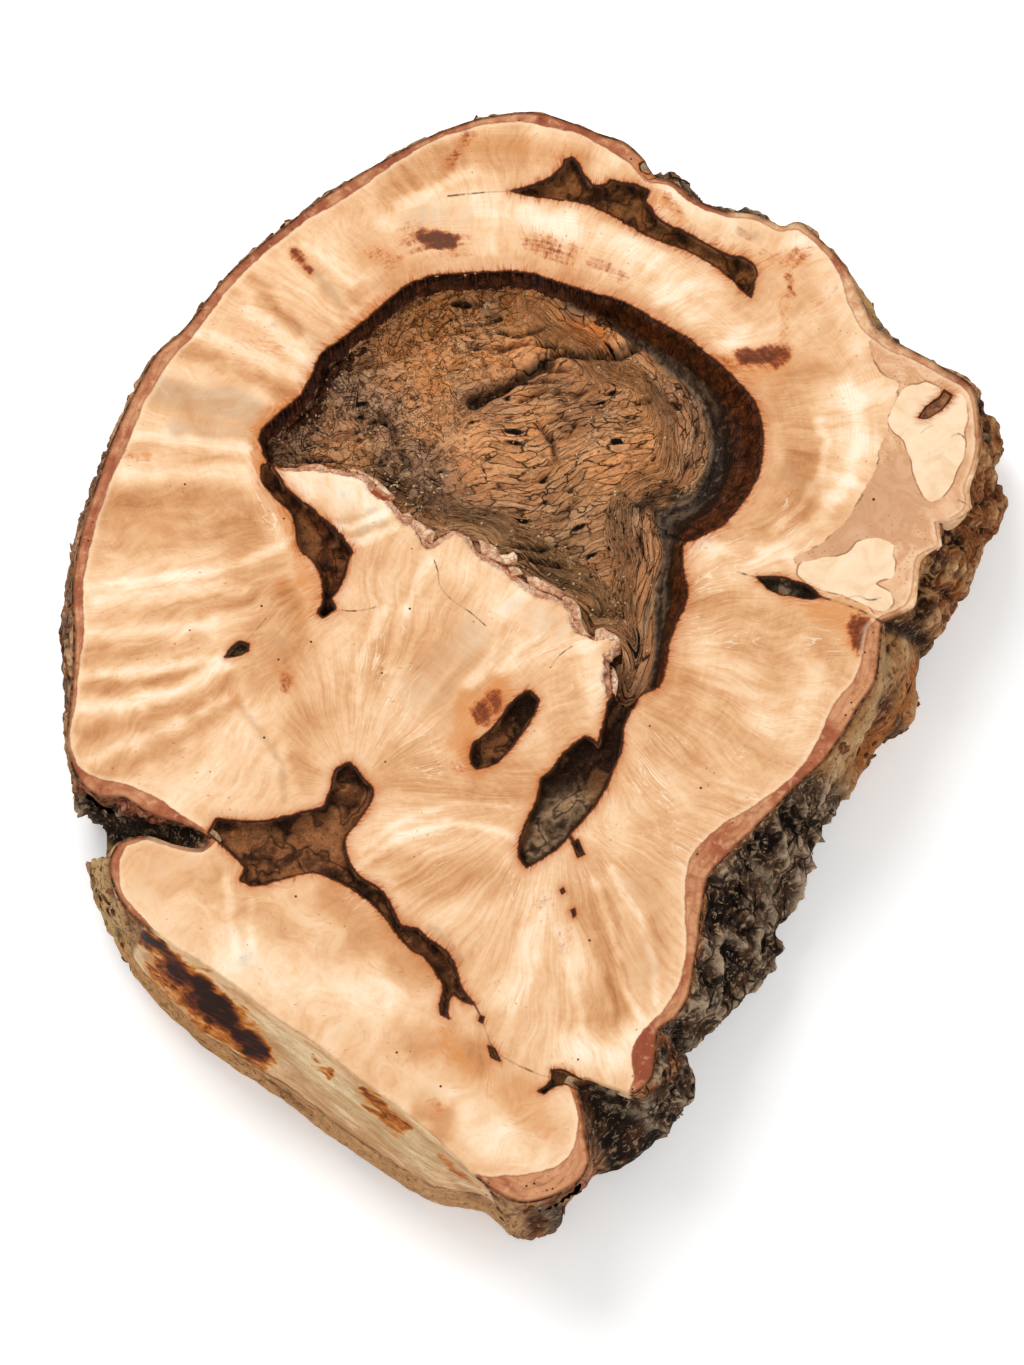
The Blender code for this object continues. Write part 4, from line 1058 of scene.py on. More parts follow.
class Board:
    """A material's node tree, with short calls for the nodes that these finishes use."""

    def __init__(self, name, roughness, specular=0.35):
        self.material = bpy.data.materials.new(name)
        self.material.use_nodes = True
        self.tree = self.material.node_tree
        self.tree.nodes.clear()
        self.output = self.tree.nodes.new("ShaderNodeOutputMaterial")
        self.shader = self.tree.nodes.new("ShaderNodeBsdfPrincipled")
        self.shader.inputs["Roughness"].default_value = roughness
        self.shader.inputs["Specular IOR Level"].default_value = specular
        self.tree.links.new(self.shader.outputs["BSDF"], self.output.inputs["Surface"])

    def put(self, kind, **settings):
        """Adds a node and sets its properties."""
        node = self.tree.nodes.new(kind)
        for name, value in settings.items():
            setattr(node, name, value)
        return node

    def feed(self, socket, value):
        """Links or sets a socket."""
        if isinstance(value, bpy.types.NodeSocket):
            self.tree.links.new(value, socket)
        elif isinstance(value, (tuple, list, np.ndarray)) and len(value) == 3 and socket.type == "RGBA":
            socket.default_value = (*value, 1.0)
        else:
            socket.default_value = value

    def stored(self, name, output="Fac"):
        """An attribute of the mesh."""
        return self.put("ShaderNodeAttribute", attribute_name=name).outputs[output]

    def place(self):
        """The place on the piece, in metres."""
        return self.put("ShaderNodeTexCoord").outputs["Object"]

    def sum(self, operation, first, second=0.0, third=0.0):
        """One step of arithmetic."""
        node = self.put("ShaderNodeMath", operation=operation)
        for socket, value in zip(node.inputs, (first, second, third)):
            self.feed(socket, value)
        return node.outputs[0]

    def add(self, *values):
        """The sum of values."""
        return functools.reduce(functools.partial(self.sum, "ADD"), values)

    def times(self, *values):
        """The product of values."""
        return functools.reduce(functools.partial(self.sum, "MULTIPLY"), values)

    def swing(self, value, amount):
        """Noise of 0 to 1 as a swing of an amount to either side of nothing."""
        return self.sum("MULTIPLY_ADD", value, 2.0 * amount, -amount)

    def vector(self, operation, first, second):
        """One step of arithmetic on vectors."""
        node = self.put("ShaderNodeVectorMath", operation=operation)
        self.feed(node.inputs[0], first)
        self.feed(node.inputs[1], second)
        return node.outputs["Vector"]

    def grain(self, place, scale, detail=3.0, roughness=0.55, distortion=0.0):
        """Noise from 0 to 1."""
        node = self.put("ShaderNodeTexNoise")
        self.feed(node.inputs["Vector"], place)
        for name, value in (("Scale", scale), ("Detail", detail), ("Roughness", roughness),
                            ("Distortion", distortion)):
            self.feed(node.inputs[name], value)
        return node.outputs["Fac"]

    def cracked(self, place, scale, feature="DISTANCE_TO_EDGE"):
        """Distance to the edges or seeds of scattered cells."""
        node = self.put("ShaderNodeTexVoronoi", feature=feature)
        self.feed(node.inputs["Vector"], place)
        self.feed(node.inputs["Scale"], scale)
        return node.outputs["Distance"]

    def cell_tone(self, place, scale):
        """A tone from 0 to 1 for each scattered cell."""
        node = self.put("ShaderNodeTexVoronoi", feature="F1")
        self.feed(node.inputs["Vector"], place)
        self.feed(node.inputs["Scale"], scale)
        split = self.put("ShaderNodeSeparateXYZ")
        self.feed(split.inputs[0], node.outputs["Color"])
        return split.outputs[0]

    def warped(self, place, scale, amount):
        """A place shifted by noise."""
        node = self.put("ShaderNodeTexNoise")
        self.feed(node.inputs["Vector"], place)
        self.feed(node.inputs["Scale"], scale)
        self.feed(node.inputs["Detail"], 2.0)
        centred = self.vector("SUBTRACT", node.outputs["Color"], (0.5, 0.5, 0.5))
        return self.vector("ADD", place, self.vector("MULTIPLY", centred, (2.0 * amount,) * 3))

    def joined(self, x, y, z):
        """A vector from three numbers."""
        node = self.put("ShaderNodeCombineXYZ")
        for socket, value in zip(node.inputs, (x, y, z)):
            self.feed(socket, value)
        return node.outputs[0]

    def height(self, place):
        """The height part of a place."""
        node = self.put("ShaderNodeSeparateXYZ")
        self.feed(node.inputs[0], place)
        return node.outputs[2]

    def between(self, share, first, second):
        """A number between two others."""
        return self.add(first, self.times(share, self.sum("SUBTRACT", second, first)))

    def step(self, value, low, high):
        """Goes smoothly from 0 at low to 1 at high."""
        node = self.put("ShaderNodeMapRange", interpolation_type="SMOOTHSTEP")
        self.feed(node.inputs["Value"], value)
        backwards = low > high
        self.feed(node.inputs["From Min"], min(low, high))
        self.feed(node.inputs["From Max"], max(low, high))
        self.feed(node.inputs["To Min"], 1.0 if backwards else 0.0)
        self.feed(node.inputs["To Max"], 0.0 if backwards else 1.0)
        return node.outputs["Result"]

    def blend(self, share, first, second, mode="MIX"):
        """Blends two colours."""
        node = self.put("ShaderNodeMix", data_type="RGBA", blend_type=mode)
        self.feed(node.inputs[0], share)
        self.feed(node.inputs[6], first)
        self.feed(node.inputs[7], second)
        return node.outputs[2]

    def toned(self, share, base, colour):
        """Blends a colour of 0 to 255 steps over another by a share."""
        return self.blend(share, base, tuple(srgb(colour)))

    def ramp(self, value, stops):
        """Colours of 0 to 255 steps by a value from 0 to 1."""
        node = self.put("ShaderNodeValToRGB")
        elements = node.color_ramp.elements
        while len(elements) < len(stops):
            elements.new(0.5)
        for element, (position, colour) in zip(elements, stops):
            element.position = position
            element.color = (*srgb(colour), 1.0)
        self.feed(node.inputs["Fac"], value)
        return node.outputs["Color"]

    def stretch(self, place, scale):
        """Scales a place by axis."""
        return self.vector("MULTIPLY", place, scale)

    def turned(self, place, degrees):
        """A place turned about the upright axis."""
        node = self.put("ShaderNodeVectorRotate", rotation_type="Z_AXIS")
        self.feed(node.inputs["Vector"], place)
        self.feed(node.inputs["Angle"], math.radians(degrees))
        return node.outputs["Vector"]

    def relief(self, height, distance, strength=1.0, under=None):
        """A fine relief under the finish."""
        node = self.put("ShaderNodeBump")
        self.feed(node.inputs["Height"], height)
        self.feed(node.inputs["Distance"], distance)
        self.feed(node.inputs["Strength"], strength)
        if under is not None:
            self.feed(node.inputs["Normal"], under)
        return node.outputs["Normal"]

    def finish(self, colour, normal=None, roughness=None):
        """Joins the colour, relief and roughness to the shader."""
        self.feed(self.shader.inputs["Base Color"], colour)
        if normal is not None:
            self.feed(self.shader.inputs["Normal"], normal)
        if roughness is not None:
            self.feed(self.shader.inputs["Roughness"], roughness)
        return self.material


class BurlLook(bpy.types.PropertyGroup):
    """Sizes and colours of the slab's finish."""

    inner_bark: FloatVectorProperty(name="Inner bark", description="Colour of the inner bark at the face's edge",
                                    subtype="COLOR", size=3, default=tuple(srgb((168, 96, 62))), min=0.0, max=1.0)
    rim: FloatVectorProperty(name="Dark rim", description="Colour of the wood's edge at a void", subtype="COLOR",
                             size=3, default=tuple(srgb((70, 32, 13))), min=0.0, max=1.0)
    bleed: FloatVectorProperty(name="Bleed", description="Colour that bleeds from a void into the wood",
                               subtype="COLOR", size=3, default=tuple(srgb((186, 104, 50))), min=0.0, max=1.0)
    ring_step: FloatProperty(name="Ring spacing", description="Distance between growth rings", default=0.0014,
                             min=0.0005, max=0.01, subtype="DISTANCE", unit="LENGTH")
    face_step: FloatProperty(name="Face mesh", description="Spacing of the points of the sawn face",
                             default=0.0015, min=0.0008, max=0.01, subtype="DISTANCE", unit="LENGTH")
    floor_step: FloatProperty(name="Hollow mesh", description="Spacing of the points of the hollow",
                              default=0.00082, min=0.0005, max=0.01, subtype="DISTANCE", unit="LENGTH")


def fan_grain(board, place):
    """Broad, fine and pale-line streaks along the fans of grain."""
    split = board.put("ShaderNodeSeparateXYZ")
    board.feed(split.inputs[0], place)
    bend = board.swing(board.grain(place, 22.0, 2.0), 0.16)
    totals = [None, None, None]
    for number, (centre, _) in enumerate(FANS):
        middle = seen_at(centre, THICKNESS)
        dx = board.sum("SUBTRACT", split.outputs[0], float(middle[0]))
        dy = board.sum("SUBTRACT", split.outputs[1], float(middle[1]))
        turn = board.sum("ADD", board.sum("ARCTAN2", dy, dx), bend)
        radius = board.sum("SQRT", board.add(board.times(dx, dx), board.times(dy, dy)))
        ray = board.joined(board.times(turn, 0.1), board.times(radius, 0.16), 0.03 * number)
        share = board.stored(f"fan_{number}")
        streaks = (board.grain(ray, 300.0, 5.0, 0.62, 0.5), board.grain(ray, 1300.0, 3.0, 0.65, 0.3),
                   board.grain(board.vector("ADD", ray, (0.3, 0.1, 0.2)), 170.0, 3.0, 0.5, 1.0))
        for index, streak in enumerate(streaks):
            part = board.times(share, streak)
            totals[index] = part if totals[index] is None else board.add(totals[index], part)
    return totals


def wood_material(look):
    """The sawn face: streaked wood, inner bark, grown-in lobes and dark voids."""
    board = Board("sawn_maple", 0.52, 0.12)
    place = board.place()
    broad, fine, lines = fan_grain(board, place)
    mottle = board.grain(place, 60.0, 6.0, 0.62, 0.6)
    speckle = board.grain(place, 620.0, 4.0, 0.7)
    split = board.put("ShaderNodeSeparateXYZ")
    board.feed(split.inputs[0], place)
    arc = board.grain(board.joined(board.stored("ring"), board.times(split.outputs[0], 0.05),
                                   board.times(split.outputs[1], 0.05)), 700.0, 4.0, 0.62, 0.3)
    level = board.add(board.stored("level"), board.swing(broad, 0.46), board.swing(fine, 0.12),
                      board.swing(mottle, 0.34), board.swing(speckle, 0.14), board.swing(arc, 0.12))
    colour = board.ramp(board.sum("MULTIPLY_ADD", level, 0.84, 0.12), (
        (0.0, (178, 118, 72)), (0.14, (196, 137, 89)), (0.30, (211, 156, 108)), (0.50, (229, 181, 135)),
        (0.68, (240, 201, 160)), (0.86, (249, 221, 188)), (1.0, (253, 233, 206))))
    vein = board.times(board.step(board.sum("ABSOLUTE", board.sum("SUBTRACT", lines, 0.5)), 0.016, 0.003),
                       board.step(board.grain(place, 34.0, 2.0), 0.48, 0.62))
    colour = board.toned(board.times(vein, board.stored("veined"), 0.55), colour, (254, 236, 208))
    hair = board.times(board.step(fine, 0.44, 0.34), board.step(mottle, 0.44, 0.62))
    colour = board.toned(board.times(hair, 0.20), colour, (196, 134, 86))
    colour = board.toned(ring_lines(board, look), colour, (200, 138, 92))
    grey = board.step(board.add(board.stored("grey"), board.swing(broad, 0.9), board.swing(fine, 0.4),
                                board.swing(speckle, 0.35)), 0.14, 0.95)
    colour = board.blend(board.times(grey, 0.85), colour, (0.86, 0.84, 0.84), "MULTIPLY")
    colour = board.toned(board.times(grey, 0.30), colour, (168, 138, 108))
    glow = board.add(board.stored("orange"), board.swing(broad, 0.9), board.swing(fine, 0.9),
                     board.swing(speckle, 0.3))
    glow = board.times(board.step(glow, 0.20, 1.05), board.step(board.stored("orange"), 0.02, 0.2))
    colour = board.toned(board.times(glow, 0.72), colour, (208, 130, 62))
    stain = board.add(board.stored("stain"), board.swing(broad, 0.40), board.swing(arc, 0.42),
                      board.swing(speckle, 0.45), board.swing(mottle, 0.30))
    stain = board.times(stain, board.step(board.stored("stain"), 0.02, 0.12))
    stained = board.ramp(stain, ((0.20, (218, 146, 86)), (0.50, (192, 104, 48)), (0.76, (138, 60, 24)),
                                 (1.0, (84, 30, 11))))
    colour = board.blend(board.times(board.step(stain, 0.18, 0.80), 0.94), colour, stained)
    colour = flecks(board, colour, place)
    colour = grown_in(board, colour, place)
    colour = bark_band(board, colour, place, look)
    colour = crust(board, colour, place)
    colour = dark_edges(board, colour, place, broad, fine, look)
    grain_bump = board.relief(fine, 0.00016, 0.4)
    saw = board.relief(board.grain(board.stretch(place, (1.0, 0.05, 1.0)), 900.0, 2.0),
                       0.00008, 0.3, grain_bump)
    depth = board.step(board.stored("depth"), 0.0004, 0.002)
    rough_spot = board.grain(place, 800.0, 5.0, 0.65, 0.8)
    normal = board.relief(board.times(rough_spot, depth), 0.0012, 1.0, saw)
    roughness = board.add(0.50, board.times(board.grain(place, 300.0), 0.14), board.times(depth, -0.24))
    return board.finish(colour, normal, roughness)


def ring_lines(board, look):
    """Growth rings, strongest between the hollow and the top of the slab."""
    wobble = board.swing(board.grain(board.place(), 40.0, 3.0), 0.0035)
    phase = board.times(board.add(board.stored("ring"), wobble), 2.0 * math.pi / look.ring_step)
    line = board.step(board.sum("SINE", phase), 0.2, 1.0)
    patch = board.step(board.grain(board.place(), 55.0, 4.0), 0.46, 0.66)
    return board.times(line, patch, board.stored("ring_share"), 0.16)


def flecks(board, colour, place):
    """Small red-brown flecks and pin knots."""
    near = board.cracked(place, 300.0, "F1")
    pick = board.step(board.grain(place, 30.0, 3.0), 0.54, 0.66)
    spot = board.times(board.step(near, 0.17, 0.06), pick)
    colour = board.toned(board.times(spot, 0.60), colour, (146, 80, 42))
    dash = board.times(board.step(board.cracked(board.stretch(place, (0.35, 1.0, 1.0)), 420.0, "F1"), 0.16, 0.06),
                       board.step(board.grain(place, 36.0, 2.0), 0.58, 0.66))
    colour = board.toned(board.times(dash, 0.55), colour, (176, 100, 54))
    rare = board.times(board.step(board.cracked(place, 100.0, "F1"), 0.060, 0.035),
                       board.step(board.grain(place, 60.0, 1.0), 0.49, 0.53))
    return board.toned(rare, colour, (84, 42, 22))


def grown_in(board, colour, place):
    """Old bark grown into the face at the right, and the pale lobes in it."""
    edge = board.add(board.swing(board.grain(place, 200.0, 4.0, 0.6), 0.0016),
                     board.swing(board.grain(place, 60.0, 2.0), 0.0012))
    old = board.add(board.stored("old_bark"), edge)
    mottle = board.grain(place, 80.0, 6.0, 0.66, 1.2)
    dots = board.times(board.step(board.cracked(place, 620.0, "F1"), 0.32, 0.12),
                       board.step(board.grain(place, 90.0, 3.0), 0.46, 0.60))
    holes = board.times(board.step(board.cracked(place, 150.0, "F1"), 0.11, 0.06),
                        board.step(board.grain(place, 70.0, 1.0), 0.48, 0.54))
    tan = board.ramp(mottle, ((0.30, (240, 202, 164)), (0.46, (226, 178, 138)), (0.58, (208, 154, 112)),
                              (0.70, (224, 176, 134))))
    tan = board.toned(board.times(board.stored("old_dark"), 0.65), tan, (196, 146, 108))
    tan = board.toned(board.times(dots, 0.55), tan, (150, 94, 60))
    tan = board.toned(holes, tan, (66, 34, 20))
    colour = board.blend(board.step(old, -0.0001, 0.0004), colour, tan)
    line = board.times(board.step(board.sum("ABSOLUTE", old), 0.0005, 0.0001),
                       board.step(board.grain(place, 110.0, 3.0), 0.46, 0.60))
    colour = board.toned(board.times(line, 0.8), colour, (128, 78, 48))
    lobe = board.add(board.stored("pale_lobe"), board.times(edge, 0.30))
    pale = board.ramp(mottle, ((0.32, (246, 220, 186)), (0.5, (242, 212, 176)), (0.7, (232, 192, 150))))
    colour = board.blend(board.step(lobe, -0.0001, 0.0003), colour, pale)
    line = board.times(board.step(board.sum("ABSOLUTE", lobe), 0.0005, 0.0001),
                       board.step(board.grain(place, 75.0, 3.0), 0.44, 0.56))
    return board.toned(board.times(line, 0.8), colour, (150, 94, 58))


def bark_band(board, colour, place, look):
    """The inner bark and the brown outer bark at the face's edge."""
    edge = board.add(board.swing(board.grain(place, 110.0, 4.0, 0.6), 0.0011),
                     board.swing(board.grain(place, 500.0, 3.0), 0.0003))
    inside = board.add(board.stored("wood_edge"), edge)
    outside = board.add(board.stored("face_edge"), board.times(edge, 0.6))
    barked = board.step(board.sum("SUBTRACT", board.stored("face_edge"), board.stored("wood_edge")),
                        0.0008, 0.0018)
    layers = board.sum("SINE", board.add(board.times(outside, 2300.0),
                                         board.swing(board.grain(place, 90.0, 3.0), 9.0)))
    patch = board.grain(place, 46.0, 4.0, 0.6, 0.5)
    mottle = board.grain(place, 260.0, 5.0, 0.62, 0.5)
    pink = board.toned(board.step(patch, 0.42, 0.60), tuple(look.inner_bark), (200, 140, 98))
    pink = board.toned(board.times(board.step(patch, 0.46, 0.34), 0.8), pink, (140, 66, 44))
    pink = board.toned(board.times(board.step(layers, 0.1, 1.0), 0.22), pink, (120, 60, 40))
    pink = board.toned(board.times(board.step(mottle, 0.52, 0.68), 0.45), pink, (226, 172, 132))
    pink = board.toned(board.times(board.step(mottle, 0.46, 0.34), 0.40), pink, (128, 68, 46))
    pits = board.times(board.step(board.cracked(place, 360.0, "F1"), 0.20, 0.10),
                       board.step(board.grain(place, 90.0, 1.0), 0.53, 0.58))
    pink = board.toned(pits, pink, (62, 32, 20))
    pink = board.toned(board.times(board.step(outside, 0.0016, 0.0006), 0.85), pink, (122, 74, 44))
    pink = board.toned(board.times(board.step(mottle, 0.54, 0.46), board.step(outside, 0.0009, 0.0003)), pink,
                       (66, 38, 22))
    tan = board.toned(board.step(mottle, 0.44, 0.62), tuple(srgb((222, 172, 124))), (240, 202, 160))
    tan = board.toned(board.times(board.step(patch, 0.55, 0.70), 0.6), tan, (204, 138, 86))
    pink = board.blend(board.stored("tan_edge"), pink, tan)
    colour = board.toned(board.times(board.step(inside, 0.0022, 0.0), barked, 0.40), colour, (248, 218, 182))
    line = board.step(board.sum("ABSOLUTE", board.add(inside, 0.0003)), 0.0006, 0.0001)
    colour = board.blend(board.times(board.step(inside, 0.0, -0.0004), barked), colour, pink)
    return board.toned(board.times(line, barked, 0.45), colour, (150, 86, 56))


def crust(board, colour, place):
    """The pinkish torn wood beside the hollow."""
    share = board.step(board.add(board.stored("crust"), board.swing(board.grain(place, 420.0, 4.0), 0.30)),
                       0.10, 0.24)
    chips = board.cracked(board.vector("ADD", place, (0.3, 0.2, 0.0)), 300.0)
    patch = board.grain(place, 170.0, 4.0, 0.6, 0.5)
    torn = board.ramp(patch, ((0.34, (150, 96, 70)), (0.46, (196, 142, 112)), (0.56, (222, 178, 146)),
                              (0.66, (206, 176, 150))))
    torn = board.toned(board.times(board.step(chips, 0.07, 0.01), 0.7), torn, (120, 70, 46))
    torn = board.toned(board.step(board.grain(place, 100.0, 2.0), 0.58, 0.64), torn, (150, 74, 40))
    return board.blend(share, colour, torn)


def dark_edges(board, colour, place, broad, fine, look):
    """The stained wood round each void, hair cracks, and the voids' own lining, with painted highlight and painted
    shade on the lining's folds.
    """
    void = board.stored("void")
    reach = board.sum("MAXIMUM", board.stored("stain_reach"), 0.0002)
    spikes = board.times(board.add(board.swing(broad, 1.7), board.swing(fine, 1.9)), reach)
    far = board.sum("DIVIDE", board.sum("SUBTRACT", void, spikes), reach)
    colour = board.blend(board.times(board.step(far, 2.5, 0.3), 0.46), colour, tuple(look.bleed))
    colour = board.blend(board.times(board.step(far, 0.95, 0.0), 0.85), colour, tuple(look.bleed))
    uneven = board.times(board.swing(board.grain(place, 420.0, 4.0, 0.62), 0.36), reach)
    near = board.sum("DIVIDE", board.add(void, uneven, board.times(spikes, -0.10)), reach)
    colour = board.toned(board.step(near, 0.46, 0.20), colour, (126, 62, 24))
    colour = board.blend(board.step(near, 0.28, 0.10), colour, tuple(look.rim))
    crease = board.add(board.stored("crease"), board.swing(board.grain(place, 300.0, 2.0), 0.00035))
    broken = board.between(board.step(board.grain(place, 130.0, 3.0), 0.44, 0.56), 0.25, 0.85)
    colour = board.toned(board.times(board.step(crease, 0.00022, -0.00012), broken), colour, (84, 46, 24))
    lining = board.stored("lining", "Color")
    fold = board.grain(board.stretch(place, (1.0, 0.7, 1.0)), 118.0, 1.0, 0.4, 0.5)
    fibre = board.grain(place, 900.0, 5.0, 0.66, 1.2)
    # Painted highlight and shade on the lining: pale patches on folds and fibres stand for highlights, near-black fold
    # gaps, squiggles and fibres for shade
    dark = board.blend(0.86, lining, (0.012, 0.005, 0.002))
    pale = board.toned(0.34, lining, (196, 132, 80))
    squiggle = board.step(board.sum("ABSOLUTE", board.sum("SUBTRACT", fold, 0.5)), 0.040, 0.010)
    lining = board.blend(board.times(board.step(fold, 0.53, 0.64), 0.80), lining, pale)
    lining = board.blend(board.times(board.step(fold, 0.44, 0.34), 0.70), lining, dark)
    lining = board.blend(board.times(squiggle, 0.85), lining, dark)
    lining = board.blend(board.times(board.step(fibre, 0.48, 0.36), 0.70), lining, dark)
    lining = board.blend(board.times(board.step(fibre, 0.56, 0.68), 0.50), lining, pale)
    return board.blend(board.step(board.stored("depth"), 0.0003, 0.0009), colour, lining)


def lining_material():
    """The hollow: dark glossy wall and grey-brown weathered fibre, with painted shade in the splits, slots and curl
    lines that the bump sinks.
    """
    board = Board("weathered_heart", 0.78, 0.12)
    place = board.place()
    tone = board.stored("tone", "Color")
    worm = board.stored("worm")
    flow = board.stored("flow", "Vector")
    drop = board.sum("SUBTRACT", THICKNESS, board.height(place))
    foot = board.add(board.swing(board.grain(place, 150.0, 3.0), 0.0040),
                     board.swing(board.grain(place, 600.0, 3.0), 0.0016))
    low = board.step(board.add(drop, foot), 0.0122, 0.0132)
    floor = board.times(board.stored("floor"), low)
    along = board.stretch(board.warped(flow, 120.0, 0.0024), (0.24, 1.0, 1.0))
    about = board.stretch(board.warped(place, 130.0, 0.0030), (0.62, 1.0, 0.8))
    gap = board.between(worm, board.cracked(along, 400.0), board.cracked(about, 270.0))
    sliver = board.between(worm, board.cell_tone(along, 400.0), board.cell_tone(about, 270.0))
    fine = board.between(worm, board.grain(board.stretch(flow, (0.28, 1.0, 1.0)), 1000.0, 5.0, 0.7, 1.2),
                         board.grain(place, 620.0, 5.0, 0.7, 2.0))
    broad = board.grain(place, 70.0, 4.0, 0.6, 0.8)
    dark = board.blend(0.78, tone, (0.016, 0.008, 0.004))
    light = board.toned(0.50, tone, (250, 208, 160))
    colour = board.blend(board.times(board.step(sliver, 0.45, 0.02), 0.34), tone, dark)
    colour = board.blend(board.times(board.step(sliver, 0.60, 1.0), 0.55), colour, light)
    colour = board.toned(board.times(board.step(broad, 0.54, 0.66), 0.45), colour, (204, 130, 74))
    colour = board.blend(board.times(board.step(fine, 0.48, 0.34), 0.80), colour, dark)
    colour = board.blend(board.times(board.step(fine, 0.55, 0.68), 0.60), colour, light)
    # Painted shade: splits between slivers, curl lines and slots are sunk in the bump and painted near black
    split = board.times(board.step(gap, 0.055, 0.012), board.step(board.grain(place, 120.0, 3.0), 0.45, 0.54),
                        board.between(worm, 1.0, 0.25))
    curl = board.grain(place, 105.0, 4.0, 0.6, 1.6)
    curls = board.times(board.step(board.sum("ABSOLUTE", board.sum("SUBTRACT", curl, 0.5)), 0.030, 0.006),
                        worm, 0.75)
    colour = board.blend(board.times(board.step(curl, 0.51, 0.60), worm, 0.45), colour, light)
    colour = board.toned(board.sum("MAXIMUM", board.times(split, 0.92), curls), colour, (30, 17, 10))
    slots = board.times(board.step(board.cracked(board.stretch(flow, (0.30, 1.0, 1.0)), 200.0, "F1"), 0.26, 0.16),
                        board.step(board.grain(place, 60.0, 3.0), 0.48, 0.56))
    colour = board.toned(slots, colour, (24, 13, 7))
    specks = board.times(board.step(board.cracked(place, 260.0, "F1"), 0.12, 0.06),
                         board.step(board.grain(place, 100.0, 1.0), 0.56, 0.60))
    colour = board.toned(board.times(specks, 0.8), colour, (240, 226, 206))
    shade = board.grain(board.stretch(place, (1.0, 1.0, 0.45)), 330.0, 5.0, 0.64, 0.6)
    wall = board.ramp(shade, ((0.34, (30, 13, 5)), (0.48, (66, 31, 12)), (0.60, (92, 46, 18)),
                              (0.74, (124, 70, 32))))
    crack = board.step(board.cracked(board.stretch(place, (1.0, 1.0, 0.5)), 150.0), 0.04, 0.01)
    wall = board.toned(board.times(crack, 0.8), wall, (18, 8, 4))
    far_wall = board.blend(board.step(shade, 0.52, 0.38), tone,
                           board.blend(0.75, tone, (0.010, 0.004, 0.002)))
    far_wall = board.blend(board.times(board.step(shade, 0.55, 0.68), 0.5), far_wall,
                           board.toned(0.4, tone, (176, 150, 122)))
    colour = board.blend(board.stored("floor"), far_wall, colour)
    colour = board.blend(low, wall, colour)
    height = board.add(board.times(sliver, 0.45), board.times(fine, 0.6), board.times(board.step(gap, 0.0, 0.10), 0.5),
                       board.times(slots, -0.8), board.times(curls, -0.5))
    coarse = board.relief(board.times(height, board.sum("MULTIPLY_ADD", floor, 0.8, 0.2)), 0.0024, 1.0)
    normal = board.relief(shade, 0.0010, 0.6, coarse)
    roughness = board.sum("MULTIPLY_ADD", floor, 0.46, 0.34)
    return board.finish(colour, normal, roughness)


def bark_material():
    """Bark of every kind, and the sawn facet, from the tones stored on the wall, with painted shade in the bump's
    hollows and fissures and painted highlight on its crests.
    """
    board = Board("maple_bark", 0.82, 0.07)
    place = board.place()
    tone = board.stored("tone", "Color")
    bare = board.stored("bare")
    rough = board.grain(place, 380.0, 6.0, 0.68, 0.8)
    dark = board.blend(0.68, tone, (0.012, 0.006, 0.003))
    light = board.toned(0.42, tone, (232, 198, 156))
    # Painted shade and highlight: darker where the bump noise is low, lighter where it is high
    covered = board.blend(board.step(rough, 0.49, 0.36), tone, dark)
    covered = board.blend(board.times(board.step(rough, 0.53, 0.66), 0.75), covered, light)
    speck = board.times(board.step(board.cracked(place, 240.0, "F1"), 0.22, 0.10),
                        board.step(board.grain(place, 90.0, 2.0), 0.52, 0.60))
    covered = board.toned(board.times(speck, 0.75), covered, (44, 24, 12))
    plates = board.cracked(board.stretch(board.warped(place, 90.0, 0.0060), (1.0, 0.75, 0.34)), 165.0)
    furrow = board.stored("furrow")
    ragged_gap = board.add(plates, board.swing(board.grain(place, 300.0, 3.0), 0.09))
    fissure = board.times(board.step(ragged_gap, 0.10, 0.02),
                          board.step(board.grain(place, 75.0, 3.0), 0.42, 0.56), furrow)
    # Painted highlight on ridge tops and painted shade in the fissures, both where the bump rises and sinks
    covered = board.toned(board.times(board.step(rough, 0.52, 0.64), furrow, 0.55), covered, (198, 162, 126))
    covered = board.toned(board.times(fissure, 0.92), covered, (16, 10, 6))
    swirl = board.grain(place, 48.0, 1.0, 0.4, 0.5)
    rolls = board.sum("SINE", board.times(swirl, 52.0))
    # Painted shade and highlight on the knobs' rolls: dark in their troughs, light on their crests, as in the bump
    curled = board.ramp(board.sum("MULTIPLY_ADD", rolls, 0.5, 0.5), (
        (0.0, (48, 22, 8)), (0.30, (96, 48, 18)), (0.55, (150, 86, 38)), (0.80, (186, 120, 62)), (0.97, (226, 176, 116))))
    curled = board.blend(board.step(rough, 0.48, 0.38), curled,
                         board.blend(0.6, curled, (0.02, 0.008, 0.003)))
    covered = board.blend(board.times(board.stored("curl"), board.step(board.grain(place, 45.0, 2.0), 0.46, 0.62), 0.50),
                          covered, curled)
    sawn = facet_colour(board, place, tone)
    colour = board.blend(bare, covered, sawn)
    covered_share = board.sum("SUBTRACT", 1.0, bare)
    height = board.add(board.times(rough, covered_share), board.times(fissure, -0.8))
    normal = board.relief(height, 0.0018, 1.0)
    normal = board.relief(board.times(rolls, board.stored("curl")), 0.0003, 0.6, normal)
    roughness = board.sum("MULTIPLY_ADD", covered_share, 0.30, 0.50)
    return board.finish(colour, normal, roughness)


